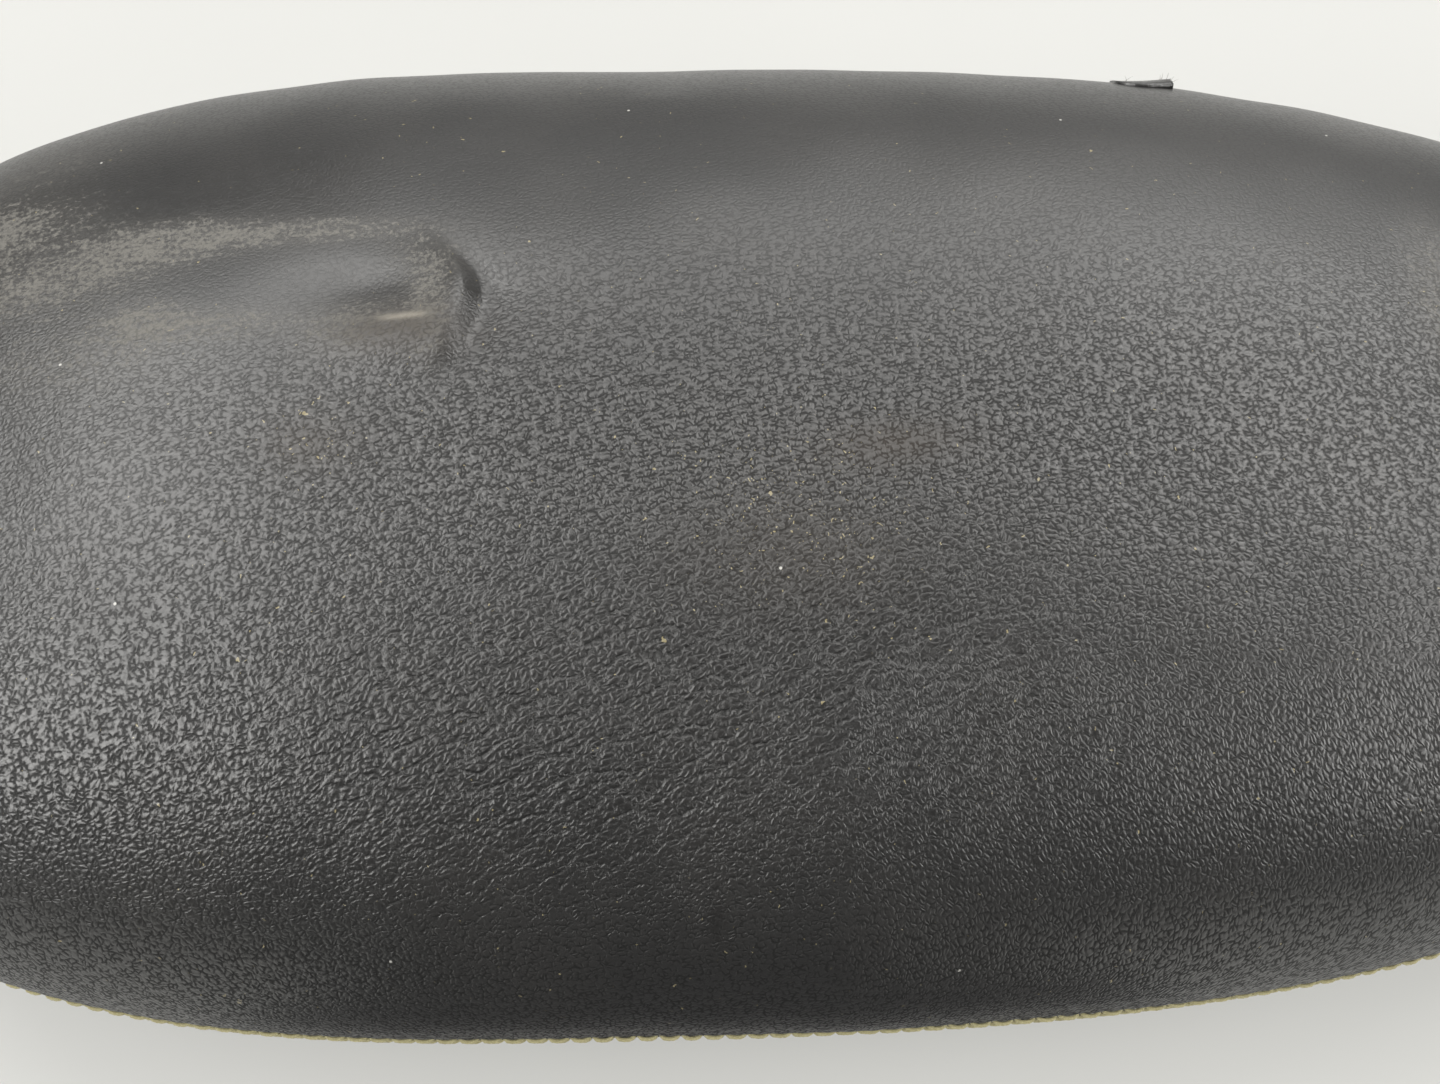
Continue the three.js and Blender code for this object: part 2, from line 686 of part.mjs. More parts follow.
// L-shaped leaf under the carriage's front end, with a rounded nose that enters a turntable notch.
function swivelSpring() {
  const [t, low] = [0.8, 4];
  const outline = [
    [NOSE_REACH, low],
    [NOSE_REACH + t, low],
    [NOSE_REACH + t, CARRIAGE_BOTTOM - t],
    [SPRING_SCREW_X + 4.5, CARRIAGE_BOTTOM - t],
    [SPRING_SCREW_X + 4.5, CARRIAGE_BOTTOM],
    [NOSE_REACH, CARRIAGE_BOTTOM],
  ];
  const leaf = sideProfile(outline, -4, 4);
  const nose = disc(NOSE_RADIUS, low + 0.4, TURNTABLE_TOP - 0.4, 20).translate(NOSE_REACH, 0, 0);
  const trim = block(NOSE_REACH + t / 2, NOSE_REACH + 5, -4, 4, 0, CARRIAGE_BOTTOM - t - 0.2);
  const rib = cut(nose, trim);
  const hole = disc(1.7, 0, CARRIAGE_BOTTOM + 1, 12).translate(SPRING_SCREW_X, 0, 0);
  return cut(join(leaf, rib), hole);
}

function springScrew() {
  const under = CARRIAGE_BOTTOM - 0.8;
  const head = [[0, under - 1.6], [1.9, under - 1.6], [2.8, under - 0.8], [2.8, under]];
  const shank = [[1.5, under], [1.5, 15], [0, 15]];
  const slot = block(-3, 3, -0.35, 0.35, under - 3, under - 0.9);
  return cut(turned([...head, ...shank], 16), slot);
}

function pivotBushing() {
  return washer(PIVOT_RADIUS + 0.1, BUSHING_OUTER, CARRIAGE_BOTTOM, NUT_POCKET_FLOOR);
}

addPart("slide_carriage", carriage(), nylon);
addPart("pivot_bushing", pivotBushing(), bronze);
addPart("slide_detent_leaf", slideLeaf(), springSteel);
addPart("slide_detent_rack", rack(), acetal);
addPart("swivel_detent_spring", swivelSpring(), springSteel);
addPart("spring_screw", springScrew(), zincSteel).position.set(SPRING_SCREW_X, 0, 0);

// ---------------------------------------------------------------- turntable, pivot and mounting plate

const BASE_SCREW_CIRCLE = 19;
const BASE_SCREW_ANGLES = [90, 210, 330];
const BASE_SCREW_RADIUS = 2;

function baseScrewPlaces() {
  return BASE_SCREW_ANGLES.map((degrees) => {
    const angle = THREE.MathUtils.degToRad(degrees);
    return [BASE_SCREW_CIRCLE * Math.cos(angle), BASE_SCREW_CIRCLE * Math.sin(angle)];
  });
}

function turntable() {
  const bore = 6;
  const body = washer(bore, TURNTABLE_RADIUS, PLATE_TOP, TURNTABLE_TOP, 60);
  const notches = [];
  for (let i = -SWIVEL_DETENTS_EACH_WAY; i <= SWIVEL_DETENTS_EACH_WAY; i++) {
    const notch = disc(NOSE_RADIUS + 0.3, PLATE_TOP - 1, TURNTABLE_TOP + 1, 20).translate(NOSE_REACH, 0, 0);
    notches.push(notch.rotateZ(THREE.MathUtils.degToRad(i * SWIVEL_STEP)));
  }
  const pilots = baseScrewPlaces().map(([x, y]) =>
    disc(BASE_SCREW_RADIUS + 0.2, PLATE_TOP - 1, 7.4, 14).translate(x, y, 0),
  );
  return cut(body, ...notches, ...pilots);
}

function mountingPlate() {
  const plate = roundedPlate(BASE_LENGTH, BASE_WIDTH, 8, 0, PLATE_TOP);
  const mountHoles = [-1, 1].flatMap((x) =>
    [-1, 1].map((y) =>
      disc(MOUNT_HOLE_RADIUS, -1, PLATE_TOP + 1, 20).translate(
        (x * MOUNT_SPACING_X) / 2,
        (y * MOUNT_SPACING_Y) / 2,
        0,
      ),
    ),
  );
  const pivotSink = turned([[0, -0.2], [8.7, -0.2], [5.3, PLATE_TOP + 0.2], [0, PLATE_TOP + 0.2]], 28);
  const sinkProfile = [[0, -0.2], [4.6, -0.2], [2.3, 2.4], [2.3, PLATE_TOP + 1], [0, PLATE_TOP + 1]];
  const screwSinks = baseScrewPlaces().map(([x, y]) => turned(sinkProfile, 16).translate(x, y, 0));
  return cut(plate, ...mountHoles, pivotSink, ...screwSinks);
}

// Countersunk shoulder bolt, its head flush with the plate's underside.
function pivotBolt() {
  const body = turned(
    [[0, 0.1], [8, 0.1], [PIVOT_RADIUS, 4.1], [PIVOT_RADIUS, 18.3], [PIVOT_RADIUS - 0.4, 18.7], [0, 18.7]],
    24,
  );
  return cut(body, disc(2.9, -1, 2.2, 6));
}

function baseScrew() {
  const body = turned([[0, 0.1], [4, 0.1], [BASE_SCREW_RADIUS, 2.1], [BASE_SCREW_RADIUS, 6.2], [0, 7.2]], 16);
  const along = block(-1.8, 1.8, -0.4, 0.4, -1, 1.2);
  const across = block(-0.4, 0.4, -1.8, 1.8, -1, 1.2);
  return cut(body, along, across);
}

// A shallow three-wave ring under the nut, which keeps a light drag on the swivel.
function waveWasher() {
  const [low, amplitude, t] = [NUT_POCKET_FLOOR + 0.45, 0.25, 0.4];
  const geometry = washer(PIVOT_RADIUS + 0.2, 8.5, low, low + t, 36);
  const position = geometry.attributes.position;
  for (let i = 0; i < position.count; i++) {
    const angle = Math.atan2(position.getY(i), position.getX(i));
    position.setZ(i, position.getZ(i) + amplitude * Math.cos(3 * angle));
  }
  return geometry;
}

function pivotNut() {
  const [bottom, top, acrossCorners] = [14.2, 18.2, 7.5];
  return cut(disc(acrossCorners, bottom, top, 6), disc(PIVOT_RADIUS + 0.15, bottom - 1, top + 1, 24));
}

addPart("mounting_plate", mountingPlate(), blackSteel);
addPart("turntable", turntable(), nylon);
addPart("thrust_washer", washer(6.4, 22, TURNTABLE_TOP, WASHER_TOP, 36), acetal);
addPart("pivot_bolt", pivotBolt(), zincSteel);
addPart("wave_washer", waveWasher(), springSteel);
addPart("pivot_nut", pivotNut(), zincSteel);
baseScrewPlaces().forEach(([x, y], i) => {
  addPart(`turntable_screw_${i + 1}`, baseScrew(), zincSteel).position.set(x, y, 0);
});

export default armrestPad;
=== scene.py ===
"""A worn black leather armrest pad on its slide-and-swivel adjuster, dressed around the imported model."""

import json
import math

import bpy
import numpy as np
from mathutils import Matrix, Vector


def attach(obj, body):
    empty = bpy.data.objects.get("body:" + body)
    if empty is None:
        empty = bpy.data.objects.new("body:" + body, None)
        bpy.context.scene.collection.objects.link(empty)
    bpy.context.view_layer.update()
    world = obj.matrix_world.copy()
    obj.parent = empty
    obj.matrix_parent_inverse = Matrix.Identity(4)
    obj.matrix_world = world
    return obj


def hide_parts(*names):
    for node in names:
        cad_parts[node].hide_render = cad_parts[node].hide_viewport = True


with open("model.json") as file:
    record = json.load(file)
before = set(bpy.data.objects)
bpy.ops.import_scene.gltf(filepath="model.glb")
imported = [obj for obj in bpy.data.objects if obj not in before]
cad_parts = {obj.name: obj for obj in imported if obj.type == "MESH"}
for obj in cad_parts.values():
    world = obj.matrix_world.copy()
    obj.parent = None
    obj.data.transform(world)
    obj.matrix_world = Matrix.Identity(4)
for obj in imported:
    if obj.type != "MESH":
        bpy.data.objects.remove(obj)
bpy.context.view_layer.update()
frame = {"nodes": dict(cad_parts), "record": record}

# ------------------------------------------------------------------ driving dimensions
# Shapes are worked out in millimetres and scaled to metres when their meshes are made.

MM = 0.001
PAD_LENGTH = 252
HALF_WIDTH = 64
REAR_REACH = 103
FRONT_REACH = PAD_LENGTH - REAR_REACH
WIDEST_X = REAR_REACH - PAD_LENGTH / 2
PLAN_POWER = 2.7
CROWN_SIDE_POWER = 2.55
CROWN_TOP_POWER = 2.2
CROWN_TOP = 70
WIDEST_HEIGHT = 36
SEAM_HEIGHT = 28
SEAM_TUCK = 1.6
BAND_BOTTOM = 22.5
COVER_THICKNESS = 1.5
COVER_GAP = 0.3
COMFORT_THICKNESS = 10
BOARD_INSET = 7

STITCH_COUNT = 258
STITCH_ROW_OFFSET = 1.7
THREAD_RADIUS = 0.24
SIDES_PER_STITCH = 2
AROUND = STITCH_COUNT * SIDES_PER_STITCH


# ------------------------------------------------------------------ the pad's form


def plan(angle, inset):
    """Points of the egg-shaped plan at these angles, drawn in by inset."""
    c = np.cos(angle)
    s = np.sin(angle)
    reach = np.where(c > 0, FRONT_REACH, REAR_REACH) - inset
    scale = (np.abs(c) ** PLAN_POWER + np.abs(s) ** PLAN_POWER) ** (-1 / PLAN_POWER)
    return WIDEST_X + reach * c * scale, (HALF_WIDTH - inset) * s * scale


def even_angles(count):
    """Angles that divide the plan's outline into equal lengths, starting at the front."""
    fine = np.linspace(0, 2 * np.pi, 20001)
    x, y = plan(fine, SEAM_TUCK)
    length = np.concatenate([[0], np.cumsum(np.hypot(np.diff(x), np.diff(y)))])
    wanted = np.arange(count) / count * length[-1]
    return np.interp(wanted, length, fine)


def crown_height(share, inset):
    rise = CROWN_TOP - WIDEST_HEIGHT - inset
    return WIDEST_HEIGHT + rise * (1 - share**CROWN_SIDE_POWER) ** (1 / CROWN_TOP_POWER)


def wall_tuck(height):
    return SEAM_TUCK * ((WIDEST_HEIGHT - height) / (WIDEST_HEIGHT - SEAM_HEIGHT)) ** 2


def crown_ring(share, angle, depth):
    """A ring of the crown, at share of the way from its middle to its rim."""
    x, y = plan(angle, depth)
    z = np.full_like(x, crown_height(share, depth))
    return np.stack([WIDEST_X + (x - WIDEST_X) * share, y * share, z], 1)


def flat_ring(inset, height, angle, share=1.0):
    x, y = plan(angle, inset)
    return np.stack([WIDEST_X + (x - WIDEST_X) * share, y * share, np.full_like(x, height)], 1)


def wall_ring(height, angle, depth):
    return flat_ring(wall_tuck(height) + depth, height, angle)


def even_shares(count):
    """Shares from near 0 to 1 whose rings lie evenly along the crown's cross-section."""
    fine = 1 - (1 - np.linspace(0, 1, 4001)) ** 3
    height = crown_height(fine, 0)
    length = np.concatenate([[0], np.cumsum(np.hypot(HALF_WIDTH * np.diff(fine), np.diff(height)))])
    return np.interp((np.arange(count) + 1) / count * length[-1], length, fine)


def normals_of(rings):
    """Outward unit normals of a grid of rings, shaped (rings, around, 3)."""
    along = np.roll(rings, -1, axis=1) - np.roll(rings, 1, axis=1)
    down = np.gradient(rings, axis=0)
    normal = np.cross(down, along)
    return normal / np.linalg.norm(normal, axis=2, keepdims=True)


def bump_at(value, middle, width):
    return np.exp(-(((value - middle) / width) ** 2))


def rise(value, low, high):
    """0 below low, 1 above high, smooth between."""
    t = np.clip((value - low) / (high - low), 0, 1)
    return t * t * (3 - 2 * t)


def waves(x, y, wavelength, seed, count=14):
    """A smooth field of about -1 to 1 made of plane waves in every direction."""
    random = np.random.default_rng(seed)
    total = np.zeros_like(x)
    for _ in range(count):
        heading = random.uniform(0, 2 * np.pi)
        pitch = wavelength * random.uniform(0.75, 1.4)
        phase = random.uniform(0, 2 * np.pi)
        total += np.sin(2 * np.pi / pitch * (x * math.cos(heading) + y * math.sin(heading)) + phase)
    return total / math.sqrt(count)


def blob(x, y, middle, size, heading=0.0):
    """A soft ellipse, 1 in its middle; heading is in degrees."""
    c = math.cos(math.radians(heading))
    s = math.sin(math.radians(heading))
    u = ((x - middle[0]) * c + (y - middle[1]) * s) / size[0]
    v = ((y - middle[1]) * c - (x - middle[0]) * s) / size[1]
    return np.exp(-(u * u + v * v))


# ------------------------------------------------------------------ what wear has done to the leather

PINCH_X = -37.2
PINCH_Y = 8.0
PINCH_HALF_LENGTH = 6.8
PINCH_HEIGHT = 2.0
PINCH_DEPTH = 0.9


def pinch(x, y):
    """A fold the leather has kept: it swells from the rear, then drops sharply towards the front."""
    bend = 0.6 - 1.8 * ((y - PINCH_Y) / PINCH_HALF_LENGTH) ** 2
    across = x - (PINCH_X + np.maximum(bend, -6) + 0.3 * np.sin((y - PINCH_Y) / 1.7))
    window = np.exp(-np.abs((y - PINCH_Y) / PINCH_HALF_LENGTH) ** 2.6)
    swell = np.where(across < 0, np.exp(across / 5.5), np.exp(-((across / 1.7) ** 2)))
    hollow = rise(across, 0.5, 3.4) * np.exp(-np.clip(across - 3.4, 0, None) / 5)
    lobe = 0.5 * blob(x, y, (PINCH_X - 6, PINCH_Y - 4.5), (6, 3.2))
    tray = -0.5 * blob(x, y, (PINCH_X - 9, PINCH_Y + 3), (7, 3.5))
    return window * (PINCH_HEIGHT * swell - PINCH_DEPTH * hollow) + lobe + tray


def soft_hills(x, y):
    return 0.16 * waves(x, y, 46, seed=3) + 0.05 * waves(x, y, 17, seed=8)


SEAM_GROOVE_DEPTH = 0.7
STITCH_VALLEY_DEPTH = 0.16
NEEDLE_PUCKER_DEPTH = 0.32
SEAM_PUFF_HEIGHT = 0.12


def seam_relief(height, phase):
    """Groove, stitch valley and needle puckers beside the seam; height is measured from the seam."""
    q = np.abs(height)
    hole = (0.5 + 0.5 * np.cos(2 * np.pi * phase)) ** 2
    groove = -SEAM_GROOVE_DEPTH * bump_at(q, 0, 0.55)
    valley = -STITCH_VALLEY_DEPTH * bump_at(q, STITCH_ROW_OFFSET, 0.5)
    pucker = -NEEDLE_PUCKER_DEPTH * bump_at(q, STITCH_ROW_OFFSET + 0.1, 0.6) * hole
    puff = SEAM_PUFF_HEIGHT * bump_at(q, 3.3, 1.0) * (1 - 0.6 * hole)
    return groove + valley + pucker + puff


# ------------------------------------------------------------------ meshes


def ring_faces(rings, around):
    """Quads that join each ring to the next, facing outwards when the rings are listed downwards."""
    i = np.arange(around)
    j = (i + 1) % around
    faces = []
    for r in range(rings - 1):
        top = r * around
        low = top + around
        faces.append(np.stack([top + i, low + i, low + j, top + j], 1))
    return np.concatenate(faces).tolist()


def fan(pole, ring_start, around, outward):
    faces = []
    for i in range(around):
        a = ring_start + i
        b = ring_start + (i + 1) % around
        faces.append([pole, a, b] if outward else [pole, b, a])
    return faces


def make_piece(name, points, faces, body, material, replaced=()):
    mesh = bpy.data.meshes.new(name)
    mesh.from_pydata((np.asarray(points, float) * MM).tolist(), [], faces)
    mesh.polygons.foreach_set("use_smooth", [True] * len(mesh.polygons))
    mesh.materials.append(material)
    mesh.update()
    piece = bpy.data.objects.new(name, mesh)
    bpy.context.scene.collection.objects.link(piece)
    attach(piece, body)
    if replaced:
        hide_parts(*replaced)
    return piece


def closed_shell(rings, first_pole=None, last_pole=None):
    """Points and faces of a closed surface through rings of equal size."""
    around = rings[0].shape[0]
    points = np.concatenate(rings)
    faces = ring_faces(len(rings), around)
    if first_pole is None:
        last = (len(rings) - 1) * around
        for i in range(around):
            j = (i + 1) % around
            faces.append([last + i, i, j, last + j])
        return points, faces
    start = len(points)
    points = np.concatenate([points, [first_pole], [last_pole]])
    faces += fan(start, 0, around, True)
    faces += fan(start + 1, (len(rings) - 1) * around, around, False)
    return points, faces


def add_attribute(piece, name, values):
    """A number, or a place, for every point of the mesh, which a material can read by name."""
    values = np.asarray(values, np.float32)
    if values.ndim == 1:
        layer = piece.data.attributes.new(name, "FLOAT", "POINT")
        layer.data.foreach_set("value", values)
    else:
        layer = piece.data.attributes.new(name, "FLOAT_VECTOR", "POINT")
        layer.data.foreach_set("vector", values.ravel())


# ------------------------------------------------------------------ materials


class Shader:
    """A node material, with short calls for the nodes used here."""

    def __init__(self, name):
        self.material = bpy.data.materials.new(name)
        self.material.use_nodes = True
        self.tree = self.material.node_tree
        self.tree.nodes.clear()

    def feed(self, socket, value):
        if isinstance(value, bpy.types.NodeSocket):
            self.tree.links.new(value, socket)
        else:
            socket.default_value = value

    def node(self, kind, inputs=None, **settings):
        made = self.tree.nodes.new("ShaderNode" + kind)
        for key, value in settings.items():
            setattr(made, key, value)
        for key, value in (inputs or {}).items():
            self.feed(made.inputs[key], value)
        return made

    def math(self, operation, *values):
        made = self.tree.nodes.new("ShaderNodeMath")
        made.operation = operation
        for socket, value in zip(made.inputs, values):
            self.feed(socket, value)
        return made.outputs[0]

    def total(self, *values):
        result = values[0]
        for value in values[1:]:
            result = self.math("ADD", result, value)
        return result

    def times(self, *values):
        result = values[0]
        for value in values[1:]:
            result = self.math("MULTIPLY", result, value)
        return result

    def smooth(self, value, low, high, start=0.0, end=1.0):
        """start below low, end above high, smooth between."""
        made = self.node(
            "MapRange",
            {"Value": value, "From Min": low, "From Max": high, "To Min": start, "To Max": end},
            interpolation_type="SMOOTHSTEP",
        )
        return made.outputs["Result"]

    def mix(self, share, first, second):
        made = self.tree.nodes.new("ShaderNodeMix")
        made.data_type = "RGBA"
        self.feed(made.inputs[0], share)
        for socket, value in ((made.inputs[6], first), (made.inputs[7], second)):
            self.feed(socket, value if isinstance(value, bpy.types.NodeSocket) else (*value, 1.0))
        return made.outputs[2]

    def millimetres(self):
        """The point in the object's own frame, in millimetres."""
        place = self.node("TexCoord").outputs["Object"]
        return self.node("VectorMath", {0: place, "Scale": 1000.0}, operation="SCALE").outputs[0]

    def turned(self, point, cell, heading=0.0):
        """point in a pattern's own axes, divided by the pattern's cell size."""
        made = self.node(
            "Mapping",
            {"Vector": point, "Rotation": (0, 0, math.radians(heading)), "Scale": cell},
            vector_type="TEXTURE",
        )
        return made.outputs[0]

    def noise(self, point, scale, detail=2.0, roughness=0.5, flat=False):
        made = self.node(
            "TexNoise",
            {"Vector": point, "Scale": scale, "Detail": detail, "Roughness": roughness},
            noise_dimensions="2D" if flat else "3D",
        )
        return made.outputs[0]

    def warped(self, point, scale, amount):
        """A point of the flat skin pushed about by a noise of this scale, by up to about amount."""
        made = self.node(
            "TexNoise",
            {"Vector": point, "Scale": scale, "Detail": 1.0},
            noise_dimensions="2D",
        )
        offset = self.node("VectorMath", {0: made.outputs["Color"], 1: (0.5, 0.5, 0.5)}, operation="SUBTRACT")
        push = self.node("VectorMath", {0: offset.outputs[0], "Scale": 2 * amount}, operation="SCALE")
        return self.node("VectorMath", {0: point, 1: push.outputs[0]}, operation="ADD").outputs[0]

    def cells(self, point, feature, flat=False):
        made = self.node(
            "TexVoronoi",
            {"Vector": point, "Scale": 1.0, "Randomness": 0.85},
            feature=feature,
            voronoi_dimensions="2D" if flat else "3D",
        )
        return made.outputs["Distance"]

    def attribute(self, name, output="Fac"):
        return self.node("Attribute", attribute_name=name).outputs[output]

    def bumped(self, height_mm):
        return self.node("Bump", {"Height": height_mm, "Distance": MM, "Strength": 1.0}).outputs[0]

    def finish(self, **inputs):
        surface = self.node("BsdfPrincipled")
        for key, value in inputs.items():
            socket = surface.inputs[key.replace("_", " ")]
            if key == "Base_Color" and not isinstance(value, bpy.types.NodeSocket):
                value = (*value, 1.0)
            self.feed(socket, value)
        output = self.node("OutputMaterial")
        self.tree.links.new(surface.outputs[0], output.inputs["Surface"])
        return self.material


# Pebble and crease sizes are in mm along and across the heading, which is in degrees.
MAIN_PEBBLE = (0.74, 0.6)
MAIN_HEADING = 15
CREASED_PEBBLE = (1.0, 0.63)
CREASE_SIZE = (8.0, 2.1)
CREASE_HEADING = 27
SIDE_PEBBLE = (0.85, 0.5)
SIDE_HEADING = -58
PIT_DEPTH = 0.062
PEBBLE_RISE = 0.026
CREASE_DEPTH = 0.13
FINE_RELIEF = 0.014


def pebbles(s, skin, size, heading):
    """How deep a point is in a groove between pebbles of about this size in mm, and how high on one."""
    place = s.turned(skin, (*size, 1.0), heading)
    groove = s.smooth(s.cells(place, "DISTANCE_TO_EDGE", flat=True), 0.0, 0.44, 1.0, 0.0)
    middle = s.cells(place, "F1", flat=True)
    return groove, s.math("SUBTRACT", 1.0, s.times(middle, middle))


def patchy(s, skin, mask):
    """A mask whose soft edge is broken up along the grain."""
    noise = s.noise(skin, 0.35, 2.0, flat=True)
    return s.smooth(s.total(mask, s.times(noise, 0.7), -0.35), 0.35, 0.65)


def leather_relief(s, skin):
    """The height of the grain in millimetres, and how near each point is to a pebble's top."""
    bent = s.warped(s.warped(skin, 0.4, 0.45), 1.5, 0.16)
    creasing = s.attribute("creasing")
    side_grain = s.attribute("side_grain")
    groove, round_top = pebbles(s, bent, MAIN_PEBBLE, MAIN_HEADING)
    for mask, size, heading in (
        (creasing, CREASED_PEBBLE, CREASE_HEADING),
        (side_grain, SIDE_PEBBLE, SIDE_HEADING),
    ):
        share = patchy(s, skin, mask)
        other_groove, other_top = pebbles(s, bent, size, heading)
        groove = s.total(groove, s.times(share, s.math("SUBTRACT", other_groove, groove)))
        round_top = s.total(round_top, s.times(share, s.math("SUBTRACT", other_top, round_top)))
    joined = s.smooth(s.noise(skin, 1.2, 2.0, flat=True), 0.32, 0.62, 0.35, 1.0)
    pits = s.times(groove, joined)
    strayed = s.warped(skin, 0.25, 1.5)
    crease_place = s.turned(strayed, (*CREASE_SIZE, 1.0), CREASE_HEADING)
    crease_edge = s.cells(crease_place, "DISTANCE_TO_EDGE", flat=True)
    crease = s.times(s.smooth(crease_edge, 0.0, 0.16, 1.0, 0.0), creasing, joined)
    micro = s.noise(skin, 4.5, 3.0, flat=True)
    depth = s.attribute("grain_depth")
    height = s.total(
        s.times(pits, depth, -PIT_DEPTH),
        s.times(round_top, depth, PEBBLE_RISE),
        s.times(crease, -CREASE_DEPTH),
        s.times(micro, FINE_RELIEF),
    )
    shade = s.smooth(pits, 0.22, 0.95)
    top = s.math("SUBTRACT", 1.0, s.math("MAXIMUM", s.times(shade, depth), s.times(crease, 0.8)))
    return height, top


SCUFF_COLOUR = (0.155, 0.147, 0.128)
HAZE_COLOUR = (0.06, 0.056, 0.05)
BARE_COLOUR = (0.36, 0.33, 0.27)
STAIN_COLOUR = (0.034, 0.027, 0.021)
GRIT_COLOUR = (0.26, 0.22, 0.12)
LINT_COLOUR = (0.50, 0.49, 0.46)


def leather_material(name, worn):
    s = Shader(name)
    skin = s.attribute("skin", "Vector")
    height, top = leather_relief(s, skin)
    low = s.math("SUBTRACT", 1.0, top)
    tone = s.noise(skin, 0.05, 3.0, flat=True)
    colour = s.mix(s.smooth(tone, 0.3, 0.7), (0.0135, 0.0132, 0.0130), (0.0185, 0.0177, 0.017))
    # Painted shade: the colour is darkened down in the grooves and creases, where the grain would shade
    # itself.
    colour = s.mix(s.times(low, 0.75), colour, (0.003, 0.0029, 0.0027))
    rough = s.total(0.285, s.times(low, 0.34), s.times(s.noise(skin, 0.5, 2.0, flat=True), 0.06))
    # Painted shade on the reflections: the specular tint dims them in the grooves and creases, and on the
    # worn cover also down the lower wall and across the creased zone; stains dim them too, as real dullness.
    reflection_shade_and_stain = s.times(low, 0.62)
    if worn:
        stain = s.attribute("staining")
        reflection_shade_and_stain = s.math("MAXIMUM", reflection_shade_and_stain, s.total(s.attribute("painted_shade_and_smear"), s.times(stain, 0.22)))
        scuff = s.attribute("scuffing")
        streaks = s.noise(s.turned(skin, (3.4, 1.1, 1.0), 6), 1.0, 5.0, 0.7, flat=True)
        flecks = s.noise(skin, 1.5, 3.0, 0.75, flat=True)
        worn_off = s.total(s.times(streaks, 0.4), s.times(flecks, 0.6), s.times(scuff, 0.2))
        rubbed = s.smooth(worn_off, 0.6, 0.73)
        scuffed = s.times(s.smooth(scuff, 0.0, 0.6), rubbed, s.total(0.2, s.times(top, top, 0.8)))
        colour = s.mix(s.times(scuffed, 0.8), colour, SCUFF_COLOUR)
        hazed = s.smooth(scuff, 0.0, 0.6, 0.0, 0.3)
        colour = s.mix(hazed, colour, HAZE_COLOUR)
        rough = s.total(rough, s.times(scuffed, 0.3), s.times(scuff, 0.08))
        colour = s.mix(s.times(s.attribute("bareness"), 0.9), colour, BARE_COLOUR)
        colour = s.mix(s.times(stain, 0.75), colour, STAIN_COLOUR)
        rough = s.total(rough, s.times(stain, 0.15))
        dust = s.attribute("dusting")
        bent = s.warped(skin, 1.2, 0.5)
        grit = s.node("TexVoronoi", {"Vector": bent, "Scale": 2.2}, feature="F1", voronoi_dimensions="2D")
        chance = s.node("SeparateColor", {"Color": grit.outputs["Color"]}).outputs[0]
        size = s.smooth(s.noise(skin, 0.9, 2.0, flat=True), 0.45, 0.7, 0.04, 0.26)
        small = s.math("LESS_THAN", grit.outputs["Distance"], size)
        specks = s.times(small, s.math("LESS_THAN", chance, s.times(dust, 0.5)))
        colour = s.mix(s.times(specks, 0.8), colour, GRIT_COLOUR)
        lint = s.node("TexVoronoi", {"Vector": skin, "Scale": 0.028}, feature="F1", voronoi_dimensions="2D")
        rare = s.node("SeparateColor", {"Color": lint.outputs["Color"]}).outputs[1]
        lint_dot = s.smooth(lint.outputs["Distance"], 0.003, 0.006, 1.0, 0.0)
        lint_dot = s.times(lint_dot, s.math("LESS_THAN", rare, 0.4))
        colour = s.mix(s.times(lint_dot, 0.8), colour, LINT_COLOUR)
    return s.finish(
        Base_Color=colour,
        Roughness=s.math("MINIMUM", rough, 0.85),
        Specular_IOR_Level=0.9,
        Specular_Tint=s.mix(reflection_shade_and_stain, (1.0, 1.0, 1.0), (0.1, 0.1, 0.1)),
        Normal=s.bumped(height),
    )


def thread_material(name, colour, dark):
    s = Shader(name)
    point = s.millimetres()
    fuzz = s.noise(point, 5.0, 3.0, 0.7)
    shade = s.mix(s.smooth(fuzz, 0.3, 0.7), dark, colour)
    return s.finish(
        Base_Color=shade,
        Roughness=0.62,
        Sheen_Weight=0.25,
        Sheen_Roughness=0.4,
        Normal=s.bumped(s.times(fuzz, 0.05)),
    )


def foam_material(name, colour, dark):
    s = Shader(name)
    point = s.millimetres()
    pores = s.cells(s.turned(point, (0.6, 0.6, 0.6)), "F1")
    shade = s.mix(s.smooth(pores, 0.2, 0.8), dark, colour)
    return s.finish(Base_Color=shade, Roughness=0.95, Normal=s.bumped(s.times(pores, 0.25)))


def metal_material(name, colour, roughness, grain, mottle=0.15):
    s = Shader(name)
    point = s.millimetres()
    streaks = s.noise(s.turned(point, (18.0, 0.35, 0.35)), 1.0, 3.0, 0.6)
    clouds = s.noise(point, 0.25, 2.0)
    dark = tuple(c * (1 - mottle) for c in colour)
    shade = s.mix(s.smooth(clouds, 0.3, 0.7), dark, colour)
    rough = s.total(roughness, s.times(streaks, grain), s.times(clouds, 0.08))
    return s.finish(
        Base_Color=shade,
        Metallic=1.0,
        Roughness=rough,
        Normal=s.bumped(s.times(streaks, 0.010)),
    )


def plastic_material(name, colour, roughness, texture, texture_size):
    """Moulded plastic with a fine spark-eroded texture."""
    s = Shader(name)
    point = s.millimetres()
    spark = s.noise(point, 1 / texture_size, 2.0, 0.6)
    clouds = s.noise(point, 0.06, 2.0)
    shade = s.mix(s.smooth(clouds, 0.3, 0.7), tuple(c * 0.8 for c in colour), colour)
    rough = s.total(roughness, s.times(spark, 0.12))
    return s.finish(Base_Color=shade, Roughness=rough, Normal=s.bumped(s.times(spark, texture)))


